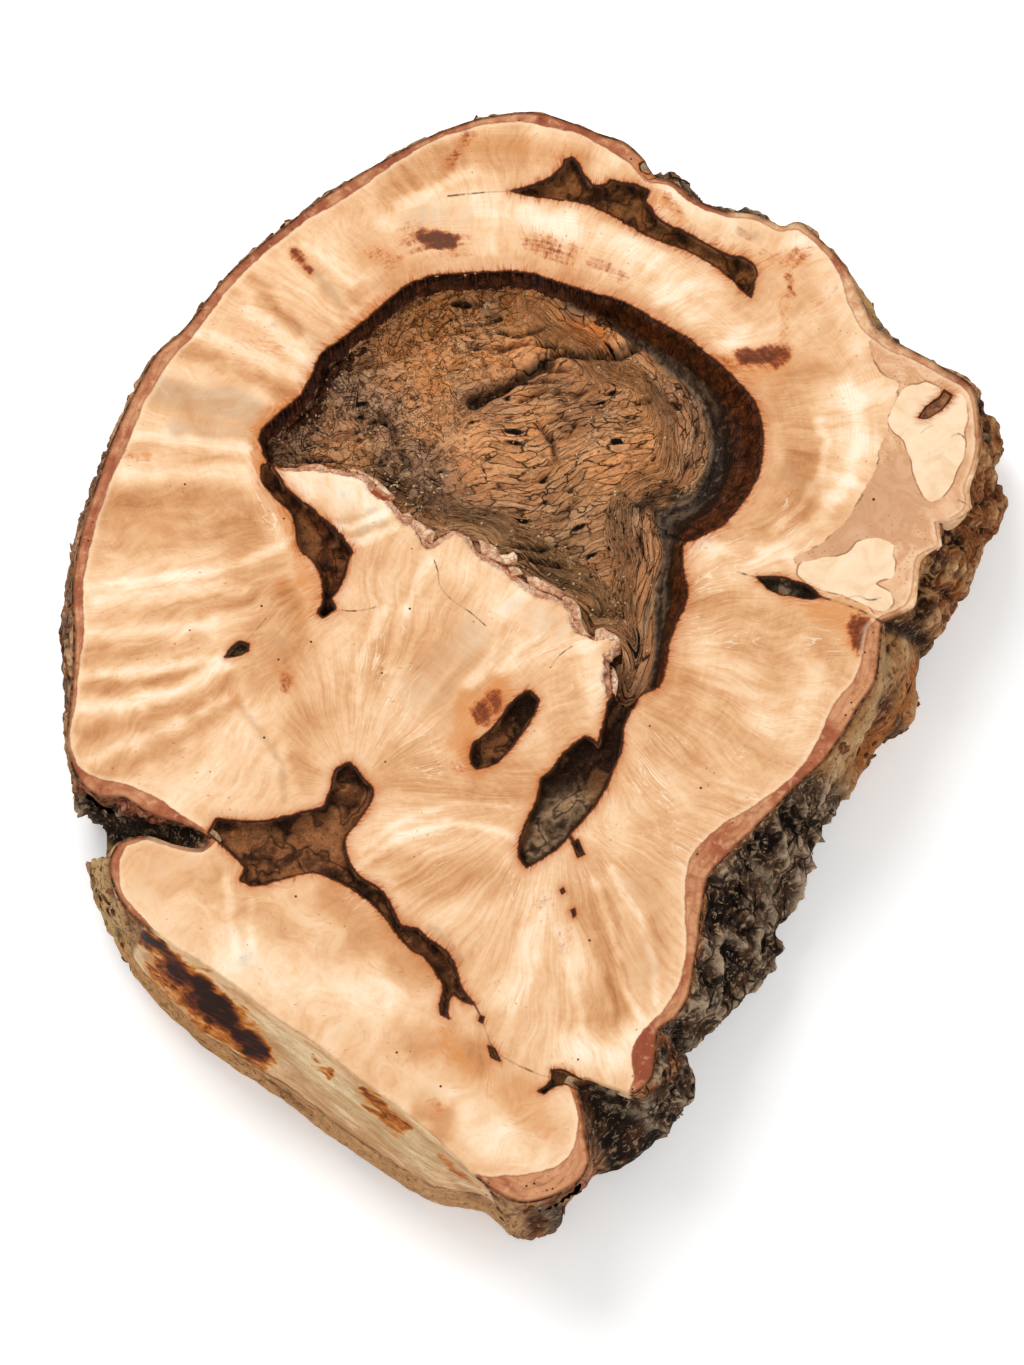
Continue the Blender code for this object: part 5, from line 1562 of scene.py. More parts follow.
def facet_colour(board, place, tone):
    """The sawn facet: pale wood in brown streaks and a dark feathered stain."""
    grain = board.grain(board.stretch(board.turned(place, 37.0), (0.12, 1.0, 0.8)), 520.0, 5.0, 0.62, 0.8)
    fringe = board.grain(board.stretch(board.turned(place, 14.0), (0.16, 1.0, 0.8)), 330.0, 4.0, 0.6, 0.7)
    sawn = board.toned(board.times(board.step(grain, 0.50, 0.36), 0.55), tone, (176, 124, 74))
    sawn = board.toned(board.times(board.step(grain, 0.53, 0.66), 0.60), sawn, (238, 214, 174))
    hair = board.step(board.sum("ABSOLUTE", board.sum("SUBTRACT", fringe, 0.5)), 0.012, 0.002)
    sawn = board.toned(board.times(hair, 0.45), sawn, (146, 92, 50))
    held = board.stored("stain")
    stain = board.times(board.add(held, board.swing(fringe, 0.80), board.swing(grain, 0.35)),
                        board.step(held, 0.02, 0.10))
    stained = board.ramp(stain, ((0.20, (214, 152, 80)), (0.40, (184, 104, 36)), (0.60, (122, 58, 16)),
                                 (0.82, (66, 26, 8)), (1.0, (40, 15, 5))))
    return board.blend(board.step(stain, 0.14, 0.34), sawn, stained)


def torn_material():
    """Chips of torn wood beside the hollow."""
    board = Board("torn_wood", 0.75, 0.12)
    place = board.place()
    patch = board.grain(place, 210.0, 5.0, 0.62, 0.8)
    colour = board.ramp(patch, ((0.32, (140, 86, 60)), (0.44, (198, 146, 112)), (0.56, (228, 190, 156)),
                                (0.68, (244, 216, 182))))
    line = board.step(board.cracked(place, 260.0), 0.05, 0.01)
    colour = board.toned(board.times(line, 0.6), colour, (120, 70, 46))
    return board.finish(colour, board.relief(board.grain(place, 700.0, 5.0), 0.0008, 0.9))


def flake_material():
    """Loose scales of bark."""
    board = Board("bark_scale", 0.85, 0.07)
    place = board.place()
    patch = board.grain(place, 120.0, 5.0, 0.65, 0.8)
    colour = board.ramp(patch, ((0.32, (52, 30, 18)), (0.46, (104, 64, 40)), (0.60, (150, 100, 64)),
                                (0.72, (186, 138, 98))))
    return board.finish(colour, board.relief(board.grain(place, 600.0, 5.0), 0.0008, 0.9))


def lining_tones(points, depth):
    """The colour of the pockets' lining."""
    deep = np.column_stack((points, depth))
    colours = np.tile(srgb((84, 46, 24)), (len(points), 1))
    for pocket in POCKET_LIST:
        low, high = pocket.loop.min(axis=0) - 0.002, pocket.loop.max(axis=0) + 0.002
        near = np.all((points > low) & (points < high), axis=1)
        if not near.any():
            continue
        reach = signed_distance(points[near], pocket.loop)
        folds = layered(deep[near], (0.0050, 0.0032, 0.004), 3, 60)
        light = ease(folds + 0.30 * ease(reach, 0.0004, 0.0035), -0.25, 0.55)
        border = 0.0030 if pocket.name == "keel" else 0.0012
        if pocket.name == "keel":
            light *= ease(pixel_of(at_height(points[near], THICKNESS))[:, 1], 772.0, 798.0)
        colours[near] = mix(pocket.dark, pocket.light, light * ease(reach, 0.3 * border, border))
    return colours


def crease_distance(level):
    """How far level points are outside the dark seams."""
    nearest = np.full(len(level), 0.012)
    for half_width, pixels in CREASES:
        reach = distance_to_path(level, crease_path(pixels), closed=False)
        nearest = np.minimum(nearest, reach - half_width)
    return nearest


def crease_path(pixels):
    """A hair crack as a level path."""
    knots = seen_at(pixels, THICKNESS)[:, :2]
    lengths = np.linalg.norm(np.roll(knots, -1, axis=0) - knots, axis=1)
    return along_curve(knots, curve_steps(lengths, 0.0009), closed=False)


def finish_piece(piece):
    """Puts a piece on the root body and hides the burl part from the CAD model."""
    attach(piece, "root")
    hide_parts("burl")


class BURL_OT_sawn_wood(bpy.types.Operator):
    """Builds the sawn face with its pockets"""

    bl_idname = "burl.sawn_wood"
    bl_label = "Sawn wood"

    def execute(self, context):
        look = context.scene.burl_look
        outline = WALL.outline
        loops = [outline, RIM] + [pocket.loop for pocket in POCKET_LIST]
        creases = [crease_path(pixels) for _, pixels in CREASES]
        coarse = fill_points(outline.min(axis=0), outline.max(axis=0), look.face_step, 7)
        coarse = coarse[is_inside(coarse, outline)]
        fine = [fill_points(pocket.loop.min(axis=0), pocket.loop.max(axis=0), 0.00085, 8 + number)
                for number, pocket in enumerate(POCKET_LIST)]
        fine = np.vstack([grid[is_inside(grid, pocket.loop)]
                          for grid, pocket in zip(fine, POCKET_LIST) if len(grid)])
        away = np.min([distance_to_path(coarse, loop, reach=0.001) for loop in loops], axis=0)
        in_pocket = np.any([is_inside(coarse, pocket.loop) for pocket in POCKET_LIST], axis=0)
        coarse = coarse[(away > 0.0007) & ~is_inside(coarse, RIM) & ~in_pocket]
        away = np.min([distance_to_path(fine, loop, reach=0.001) for loop in loops], axis=0)
        fine = fine[(away > 0.0004) & ~is_inside(fine, RIM)]
        edge_grid = fill_points(RIM.min(axis=0), RIM.max(axis=0) + 0.001, 0.0008, 17)
        edge_grid = edge_grid[crust_share(edge_grid) > 0.0]
        away = np.min([distance_to_path(edge_grid, loop, reach=0.001) for loop in loops], axis=0)
        in_pocket = np.any([is_inside(edge_grid, pocket.loop) for pocket in POCKET_LIST], axis=0)
        edge_grid = edge_grid[(away > 0.0004) & ~is_inside(edge_grid, RIM) & ~in_pocket]
        level, triangles = triangulate(loops, creases, np.vstack((coarse, fine, edge_grid)),
                                       lambda spots: is_inside(spots, outline) & ~is_inside(spots, RIM))
        drop, depth, crust_here = surface_drop(level)
        deep = at_height(level)
        swell = 0.00016 * noise(deep, 0.03, 2) * ease(distance_to_path(level, outline), 0.0, 0.004)
        top = np.column_stack((level, THICKNESS + swell - drop))
        verts, faces = close_below(top, triangles, THICKNESS - 0.021, 0.003)
        piece = new_piece("sawn_wood", verts, faces, wood_material(look))
        self.store(piece, level, depth, crust_here)
        finish_piece(piece)
        return {"FINISHED"}

    def store(self, piece, level, depth, crust_here):
        """Stores what the finish reads at each point of the top, and again below it."""
        pixels = pixel_of(at_height(level, THICKNESS))
        shares = fan_shares(pixels)
        void = distance_to_path(level, RIM)
        torn = distance_to_path(level, TORN_RIM, closed=False) < void + 0.0004
        reach = np.where(torn, 0.0004, 0.0026)
        for pocket in POCKET_LIST:
            to_pocket = np.maximum(-signed_distance(level, pocket.loop), 0.0)
            nearer = to_pocket < void
            void = np.where(nearer, to_pocket, void)
            reach = np.where(nearer, 0.0021 if pocket.depth > 0.005 else 0.0014, reach)
        old = signed_distance(level, loop_of(OLD_BARK, 0.003))
        lobe = np.maximum(signed_distance(level, loop_of(UPPER_LOBE, 0.0015)),
                          signed_distance(level, loop_of(LOWER_LOBE, 0.0015)))
        old_dark = ease(np.minimum(np.hypot(*(pixels - (880, 500)).T),
                                   np.hypot(*(pixels - (840, 530)).T)), 70.0, 20.0)
        numbers = {
            "wood_edge": signed_distance(level, loop_of([station[0] for station in OUTLINE], 0.002)),
            "face_edge": distance_to_path(level, WALL.outline), "void": void, "stain_reach": reach,
            "old_bark": old, "old_dark": old_dark, "pale_lobe": lobe, "crease": crease_distance(level),
            "ring": distance_to_path(level, RIM[::4], reach=0.07), "depth": depth, "crust": crust_here,
            "ring_share": ease(shares[:, 0], 0.3, 0.8) * ease(pixels[:, 0], 330.0, 430.0)}
        numbers["tan_edge"] = mark_share(pixels, TAN_EDGE, 34.0, 0.5, 500, whole=True)
        numbers["veined"] = ease(shares[:, 2] + shares[:, 3] + shares[:, 4], 0.4, 0.9)
        numbers.update(wood_channels(pixels, shares))
        for number in range(len(FANS)):
            numbers[f"fan_{number}"] = shares[:, number]
        for name, values in numbers.items():
            give_numbers(piece, name, np.tile(values, 2))
        give_colours(piece, "lining", np.tile(lining_tones(level, depth), (2, 1)))


def hollow_shape(level):
    """Height of the hollow's surface at level points, with what its finish needs."""
    floor = floor_loop()
    to_rim = distance_to_path(level, RIM, reach=0.03)
    to_floor = signed_distance(level, floor, reach=0.07)
    down = np.where(to_floor > 0.0, 1.0, to_rim / np.maximum(to_rim - np.minimum(to_floor, 0.0), 1e-9))
    deep = at_height(level)
    bent = shaken(deep, 0.004, 0.02, (31, 32, 33))
    middle = seen_at((585, 462), THICKNESS - HOLLOW_DEPTH)[:2]
    offset = level - middle
    turn = np.arctan2(offset[:, 0] + offset[:, 1], offset[:, 1] - offset[:, 0])
    flow = np.stack((0.045 * turn, np.maximum(to_floor, -0.02) + 0.15 * bent[:, 1], 0.1 * bent[:, 0]), axis=1)
    lean = math.radians(16.0)
    plain = np.stack((bent[:, 0] * math.cos(lean) + bent[:, 1] * math.sin(lean),
                      bent[:, 1] * math.cos(lean) - bent[:, 0] * math.sin(lean), 0.1 * bent[:, 0]), axis=1)
    flow = mix(flow, plain, ease(to_floor + 0.004 * noise(deep, 0.02, 21), 0.007, 0.018))
    pixels = pixel_of(at_height(level, THICKNESS - HOLLOW_DEPTH))
    worm = ease(pixels[:, 0] + 0.5 * (pixels[:, 1] - 420.0), 520.0, 430.0)
    swell = 0.0030 * noise(deep, 0.045, 4) + 0.0016 * noise(bent, 0.013, 5)
    ridge = ridges(flow * np.array((0.22, 1.0, 1.0)), 0.0026, 6)
    curls = ridges(bent, 0.0040, 7)
    relief = (swell + 0.0017 * (1.0 - worm) * ridge ** 2 + 0.0013 * worm * curls ** 2
              + 0.0005 * noise(bent, 0.0018, 8))
    near, _, number = cells(flow * np.array((0.45, 1.0, 1.0)), 0.0042, 9)
    pits = (number > 0.66) * ease(near, 0.36, 0.14) * ease(layered(deep, 0.03, 2, 17), -0.2, 0.3)
    relief -= 0.0024 * pits * ease(to_floor, 0.0, 0.006)
    flap = (signed_distance(level, seen_at(FLAP, THICKNESS - HOLLOW_DEPTH)[:, :2])
            + 0.0004 * noise(deep, 0.003, 18))
    relief += 0.0030 * ease(flap, 0.0, 0.0012)
    for path, half_width, crack_depth in FLOOR_CRACKS:
        line = seen_at(path, THICKNESS - HOLLOW_DEPTH)[:, :2]
        reach = distance_to_path(level, line, closed=False) + 0.0007 * noise(deep, 0.004, 14)
        relief -= crack_depth * np.exp(-(reach / half_width) ** 2)
    uneven = 0.0012 * layered(deep, 0.006, 3, 19)
    inner = ease(to_floor + uneven, -0.0006, 0.0012)
    wall = 1.0 - (1.0 - down) ** 1.5
    terrace = (0.0008 * np.sin(down * 14.0 + 2.0 * noise(deep, 0.02, 15))
               * ease(down, 0.08, 0.3) * (1.0 - inner))
    rough = 0.0006 * layered(bent, 0.004, 2, 16) * ease(down, 0.03, 0.3)
    height = THICKNESS - (HOLLOW_DEPTH - 0.003) * wall + terrace + rough
    from_torn = distance_to_path(level, TORN_RIM, closed=False, reach=0.03)
    bowl = THICKNESS - 0.0138 - 0.0072 * ease(to_rim + 0.0015 * noise(deep, 0.008, 20), -0.002, 0.0150)
    height += ease(from_torn, 0.004, 0.016) * np.maximum(bowl - height, 0.0)
    height += relief * (0.10 + 0.90 * inner) * ease(down, 0.1, 1.0) * ease(to_rim, 0.0, 0.004)
    return height, {"down": down, "inner": inner, "relief": relief, "pits": pits, "flow": flow, "worm": worm,
                    "flap": flap, "pixels": pixels}


class BURL_OT_hollow_lining(bpy.types.Operator):
    """Builds the weathered hollow"""

    bl_idname = "burl.hollow_lining"
    bl_label = "Weathered hollow"

    def execute(self, context):
        look = context.scene.burl_look
        points = fill_points(RIM.min(axis=0), RIM.max(axis=0), look.floor_step, 11)
        points = points[is_inside(points, RIM)]
        points = points[distance_to_path(points, RIM, reach=0.001) > 0.0004]
        level, triangles = triangulate([RIM], [], points, lambda spots: is_inside(spots, RIM))
        height, shape = hollow_shape(level)
        drop, _, _ = surface_drop(level)
        to_rim = distance_to_path(level, RIM, reach=0.002)
        at_rim = drop * ease(to_rim, 0.0020, 0.0004)
        mouth = THICKNESS - at_rim - 0.0001
        height = np.where(to_rim < 0.0006, mouth, np.minimum(height, mouth))
        top = np.column_stack((level, height))
        verts, faces = close_below(top, triangles, THICKNESS - 0.036, 0.0)
        piece = new_piece("hollow_lining", verts, faces, lining_material())
        give_colours(piece, "tone", np.tile(self.tones(level, shape), (2, 1)))
        give_numbers(piece, "floor", np.tile(shape["inner"], 2))
        give_numbers(piece, "worm", np.tile(shape["worm"], 2))
        layer = piece.data.attributes.new("flow", "FLOAT_VECTOR", "POINT")
        layer.data.foreach_set("vector", np.tile(shape["flow"], (2, 1)).astype(np.float32).ravel())
        finish_piece(piece)
        return {"FINISHED"}

    def tones(self, level, shape):
        """Dark wall in bands, grey-brown floor with ochre and grey patches, painted shade in its cracks and pits, and a
        painted shadow under the lifted flake.
        """
        pixels, down, inner = shape["pixels"], shape["down"], shape["inner"]
        deep = at_height(pixels)
        broad = layered(deep, 60.0, 4, 70)
        floor = mix(srgb((176, 138, 104)), srgb((222, 168, 114)), ease(broad, -0.45, 0.5))
        floor = mix(floor, srgb((228, 170, 108)), 0.7 * ease(pixels[:, 1], 400.0, 310.0))
        floor = paint(floor, pixels, HOLLOW_MARKS, 1.2)
        floor = np.clip(floor * FLOOR_GLOW, 0.0, 1.0)
        edge = shape["flow"][:, 1]
        rings = layered(np.column_stack((edge * 1600.0, pixels[:, 1] * 0.03, pixels[:, 0] * 0.03)),
                        3.0, 3, 72)
        banded = ease(pixels[:, 0], 600.0, 690.0) * ease(edge, 0.022, 0.006)
        floor = mix(floor, srgb((104, 84, 64)), banded * ease(rings, -0.1, 0.5) * 0.8)
        floor = mix(floor, srgb((190, 150, 108)), banded * ease(rings, -0.2, -0.6) * 0.6)
        # Painted shade: the floor darkens where its relief sinks into cracks, and the sunk pits are painted near black
        floor = mix(floor, srgb((48, 30, 18)), 0.85 * ease(shape["relief"], 0.0002, -0.0036))
        floor = mix(floor, srgb((24, 14, 8)), shape["pits"] * 0.9)
        # Painted shadow: a dark strip along the lower edge of the lifted flake
        floor = mix(floor, srgb((30, 17, 9)),
                    0.9 * ease(np.abs(shape["flap"]), 0.0006, 0.0) * ease(pixels[:, 1], 346.0, 352.0))
        bands = layered(np.column_stack((down * 70.0, pixels[:, 0] * 0.10, pixels[:, 1] * 0.10)), 12.0, 3, 71)
        wall = mix(srgb((50, 23, 9)), srgb((92, 48, 20)), ease(bands, -0.4, 0.6))
        right = ease(pixels[:, 0], 590.0, 680.0)
        wall = mix(wall, srgb((36, 23, 15)), 0.9 * right * ease(down + 0.15 * bands, 0.30, 0.42))
        grey = right * ease(down + 0.40 * bands, 0.66, 0.92)
        wall = mix(wall, srgb((138, 110, 84)), 0.8 * grey)
        return mix(wall, floor, inner)


# How much warmer the hollow's floor is than the colours of its patches
FLOOR_GLOW = np.array((1.38, 1.08, 0.93))
# Patches of colour on the hollow's floor
HOLLOW_MARKS = (
    ((226, 176, 124), 0.8, 24, (480, 440, 500, 454, 522, 450)),
    ((214, 150, 86), 0.7, 20, (400, 345, 450, 320, 510, 312)),
    ((212, 136, 70), 0.85, 12, (574, 336, 590, 341, 606, 346)),
    ((214, 152, 88), 0.6, 20, (430, 380, 470, 370, 500, 352)),
    ((164, 138, 116), 0.8, 26, (330, 390, 312, 420, 300, 445)),
    ((150, 126, 106), 0.6, 20, (360, 400, 400, 440, 430, 480)),
    ((150, 124, 100), 0.6, 18, (400, 470, 430, 490, 446, 505)),
    ((142, 126, 108), 0.75, 13, (552, 298, 600, 312, 650, 330)),
    ((212, 160, 104), 0.7, 22, (630, 380, 646, 430, 640, 470)),
    ((130, 104, 78), 0.5, 22, (550, 390, 590, 400, 560, 425)),
    ((170, 140, 98), 0.75, 26, (470, 530, 540, 556, 600, 600)),
    ((186, 150, 108), 0.6, 30, (560, 480, 600, 510, 580, 540)),
    ((110, 88, 66), 0.6, 9, (688, 392, 700, 430, 694, 470)),
    ((36, 20, 10), 0.9, 10, (640, 512, 662, 498, 690, 506)),
    ((58, 36, 20), 0.6, 9, (560, 620, 580, 616, 600, 616)),
    ((60, 40, 24), 0.7, 14, (380, 470, 396, 486, 420, 506)),
)


def bark_relief(kind, points):
    """How far one kind of bark stands out at points."""
    if kind == "thin":
        bent = shaken(points, 0.004, 0.012, (79, 80, 107))
        first, second, number = cells(bent, (0.010, 0.010, 0.026), 81)
        plate = ease(second - first, 0.02, 0.20) * (0.5 + 0.8 * number)
        ridge = ridges(bent, (0.006, 0.006, 0.020), 108)
        return 0.0011 * plate + 0.0012 * ridge ** 2 - 0.0014 + 0.0010 * layered(points, 0.006, 3, 82)
    if kind == "furrowed":
        bent = shaken(points, 0.004, 0.014, (83, 84, 85))
        ridge = ridges(bent, (0.010, 0.010, 0.020), 86)
        small = ridges(bent, (0.0042, 0.0042, 0.008), 87)
        return 0.0044 * ridge ** 2 + 0.0026 * small ** 2 - 0.0034 + 0.0012 * layered(points, 0.0030, 2, 88)
    if kind == "knobs":
        bent = shaken(points, 0.003, 0.010, (89, 90, 91))
        first, _, _ = cells(bent, 0.0125, 92)
        dome = np.sqrt(np.clip(1.0 - (first / 0.70) ** 2, 0.0, 1.0))
        curl = np.sin(first * 20.0 + 3.0 * noise(points, 0.008, 93))
        return 0.0066 * dome - 0.0042 + 0.0007 * curl * dome + 0.0007 * layered(points, 0.003, 2, 94)
    if kind == "lumpy":
        fibre = noise(points, (0.0018, 0.0018, 0.018), 95)
        first, _, number = cells(points, (0.010, 0.010, 0.010), 96)
        pit = (number > 0.7) * ease(first, 0.30, 0.10)
        return (0.0026 * noise(points, 0.018, 97) + 0.0014 * noise(points, 0.008, 98)
                + 0.0006 * fibre - 0.0014 * pit)
    if kind == "cleft":
        return 0.0016 * layered(points, 0.006, 3, 99)
    notches = ridges(points, (0.012, 0.012, 0.005), 101)
    return (0.0010 * noise(points, 0.016, 101) - 0.0010 * notches ** 4
            + 0.0005 * layered(points, 0.004, 2, 102))


# Dark, middle and light colours of each kind of bark: the dark one paints shade into the low relief, the light one
# paints highlight on the crests
BARK_COLOURS = {
    "thin": ((60, 37, 23), (150, 102, 68), (208, 158, 114)),
    "lumpy": ((88, 46, 20), (182, 128, 78), (230, 190, 140)),
    "furrowed": ((20, 12, 8), (88, 64, 47), (200, 172, 142)),
    "knobs": ((22, 10, 4), (150, 86, 42), (236, 184, 130)),
    "cleft": ((10, 5, 2), (34, 18, 8), (82, 48, 26)),
    "sawn": ((112, 66, 34), (196, 142, 92), (228, 182, 130)),
}


class BURL_OT_bark_wall(bpy.types.Operator):
    """Builds the bark, the sawn facet and the underside"""

    bl_idname = "burl.bark_wall"
    bl_label = "Bark"

    def execute(self, context):
        grid = WALL.grid
        rows, columns = grid.shape[:2]
        normal = self.normals(grid)
        heights = grid[..., 2]
        below_face = ease(THICKNESS - heights, 0.0002, 0.004)
        above_foot = 0.25 + 0.75 * ease(heights, 0.0, 0.006)
        bare = self.bare_share(heights)
        relief = np.zeros((rows, columns))
        tone = np.zeros((rows, columns, 3))
        for kind in KINDS:
            busy = np.nonzero(WALL.kinds[kind] > 0.001)[0]
            share = WALL.kinds[kind][None, busy]
            part = bark_relief(kind, grid[:, busy])
            relief[:, busy] += share * (part * (1.0 - bare[:, busy]) if kind == "sawn" else part)
            tone[:, busy] += share[..., None] * self.kind_tone(kind, grid[:, busy], part)
        points = grid + normal * (relief * below_face * above_foot)[..., None]
        points[..., 2] = np.clip(points[..., 2], 0.0, THICKNESS)
        points[-1, :, 2] = 0.0
        pixels = pixel_of(grid.reshape(-1, 3))
        seen = ease((normal * self.sight()).sum(axis=-1), -0.15, 0.05).ravel()
        marked = paint(tone.reshape(-1, 3).copy(), pixels, BARK_MARKS, 1.2)
        tone = mix(tone.reshape(-1, 3), marked, seen).reshape(rows, columns, 3)
        tone = mix(tone, self.facet_tones(pixels).reshape(rows, columns, 3), bare)
        lip = ease(THICKNESS - heights, 0.0022, 0.0004) * (1.0 - bare)
        tone = mix(tone, srgb((146, 92, 56)), 0.5 * lip)
        foot = 4.0 * bare * (1.0 - bare)
        tone = mix(tone, srgb((84, 50, 28)), 0.85 * foot)
        self.make(points, tone, bare, self.facet_stain(pixels).reshape(rows, columns) * bare)
        return {"FINISHED"}

    def sight(self):
        """The way to the photograph's eye."""
        return np.array((0.0, -math.cos(VIEW_ELEVATION), math.sin(VIEW_ELEVATION)))

    def normals(self, grid):
        """The way out of the smooth wall."""
        across = np.roll(grid, -3, axis=1) - np.roll(grid, 3, axis=1)
        down = np.gradient(grid, axis=0)
        normal = np.cross(across, down)
        return normal / np.maximum(np.linalg.norm(normal, axis=-1, keepdims=True), 1e-12)

    def bare_share(self, heights):
        """Where the wall is the flat sawn facet."""
        sawn = ease(WALL.kinds["sawn"], 0.35, 0.65)[None, :]
        edge = FACET_FOOT_HEIGHT + 0.0022 * layered(WALL.grid, 0.010, 3, 103)
        return sawn * np.clip((heights - edge) / 0.0016 + 0.5, 0.0, 1.0)

    def kind_tone(self, kind, points, part):
        """The colour of one kind of bark: painted shade where its relief is low, painted highlight on its crests, and
        uneven tone from noise.
        """
        dark, middle, light = (srgb(colour) for colour in BARK_COLOURS[kind])
        spread = max(part.std(), 1e-6)
        # The bark's own relief sets its tone: painted shade in the low parts, painted highlight on the crests, plus
        # noise
        level = (part - part.mean()) / spread + 0.6 * layered(points, 0.010, 3, 104)
        if kind == "thin":
            level += 1.1 * ease(points[..., 2], 0.050, 0.068) - 0.3 + 1.5 * layered(points, 0.030, 2, 106)
        tone = mix(dark, middle, ease(level, -1.6, 0.1))
        return mix(tone, light, ease(level, 0.5, 2.0))

    def facet_tones(self, pixels):
        """The facet's pale wood in streaks."""
        along = np.stack((pixels[:, 0] * 0.79 + pixels[:, 1] * 0.61, pixels[:, 1] * 0.79 - pixels[:, 0] * 0.61,
                          np.zeros(len(pixels))), axis=1)
        streak = layered(along * np.array((0.16, 1.0, 1.0)), 8.0, 3, 105)
        tones = mix(srgb((228, 186, 140)), srgb((190, 140, 94)), ease(streak, -0.4, 0.6))
        return paint(tones, pixels, FACET_MARKS, 1.1)

    def facet_stain(self, pixels):
        """How strong the facet's dark stain is."""
        strength = np.zeros(len(pixels))
        for number, (amount, half_width, path) in enumerate(FACET_STAINS):
            near, share = mark_share(pixels, path, half_width, 1.0, 300 + number)
            strength[near] = np.maximum(strength[near], amount * share)
        return strength

    def make(self, points, tone, bare, stain):
        """The closed bark piece: outer wall, flat underside and a hidden inner wall."""
        rows, columns = points.shape[:2]
        inner_top = points[0] - 0.0030 * ring_outward(points[0], 3)
        inner_top[:, 2] = THICKNESS - 0.0012
        inner_low = points[0] - 0.0060 * ring_outward(points[0], 6)
        inner_low[:, 2] = 0.020
        verts = np.vstack((points.reshape(-1, 3), inner_top, inner_low))
        faces = []
        spots = np.arange(columns)
        following = (spots + 1) % columns
        for row in range(rows - 1):
            first = row * columns
            faces += np.stack((first + spots, first + following, first + columns + following,
                               first + columns + spots), axis=1).tolist()
        top = rows * columns
        faces += np.stack((top + spots, top + following, following, spots), axis=1).tolist()
        faces += np.stack((top + columns + spots, top + columns + following, top + following, top + spots),
                          axis=1).tolist()
        faces.append((top + columns + spots)[::-1].tolist())
        faces.append(((rows - 1) * columns + spots).tolist())
        piece = new_piece("bark_wall", verts, faces, bark_material())
        plain = np.tile(srgb((214, 182, 140)), (columns, 1))
        give_colours(piece, "tone", np.vstack((tone.reshape(-1, 3), plain, plain)))
        hidden = np.zeros(2 * columns)
        give_numbers(piece, "bare", np.concatenate((bare.ravel(), hidden + 1.0)))
        give_numbers(piece, "stain", np.concatenate((stain.ravel(), hidden)))
        furrowed = (WALL.kinds["furrowed"] + 0.5 * WALL.kinds["thin"] + 0.3 * WALL.kinds["cleft"]
                    + 0.4 * WALL.kinds["knobs"])
        for name, share in (("curl", WALL.kinds["knobs"]), ("furrow", furrowed)):
            give_numbers(piece, name, np.concatenate((np.tile(share, rows), hidden)))
        finish_piece(piece)


class BURL_OT_torn_chips(bpy.types.Operator):
    """Builds the chips that still hold at the hollow's torn side"""

    bl_idname = "burl.torn_chips"
    bl_label = "Torn chips"

    def execute(self, context):
        verts = []
        faces = []
        for number, (offset, thickness, pixels) in enumerate(CHIPS):
            loop = ragged(loop_of(pixels, 0.0007), 0.0022, 0.00045, 400 + number)
            points = fill_points(loop.min(axis=0), loop.max(axis=0), 0.0007, 420 + number)
            points = points[is_inside(points, loop)]
            points = points[distance_to_path(points, loop, reach=0.001) > 0.0003]
            level, triangles = triangulate([loop], [], points,
                                           lambda spots, loop=loop: is_inside(spots, loop))
            deep = at_height(level)
            edge = ease(distance_to_path(level, loop), 0.0, 0.0008)
            tilt = 0.10 * (level[:, 1] - level[:, 1].mean())
            height = (THICKNESS + offset - tilt - 0.0004 * (1.0 - edge)
                      + 0.0005 * layered(deep, 0.003, 3, 440 + number))
            top = np.column_stack((level, np.minimum(height, THICKNESS)))
            chip_verts, chip_faces = close_below(top, triangles, THICKNESS + offset - thickness, 0.0)
            chip_verts[len(level):, 2] -= tilt
            faces += [tuple(corner + len(verts) for corner in face) for face in chip_faces]
            verts += chip_verts.tolist()
        piece = new_piece("torn_chips", verts, faces, torn_material())
        finish_piece(piece)
        return {"FINISHED"}


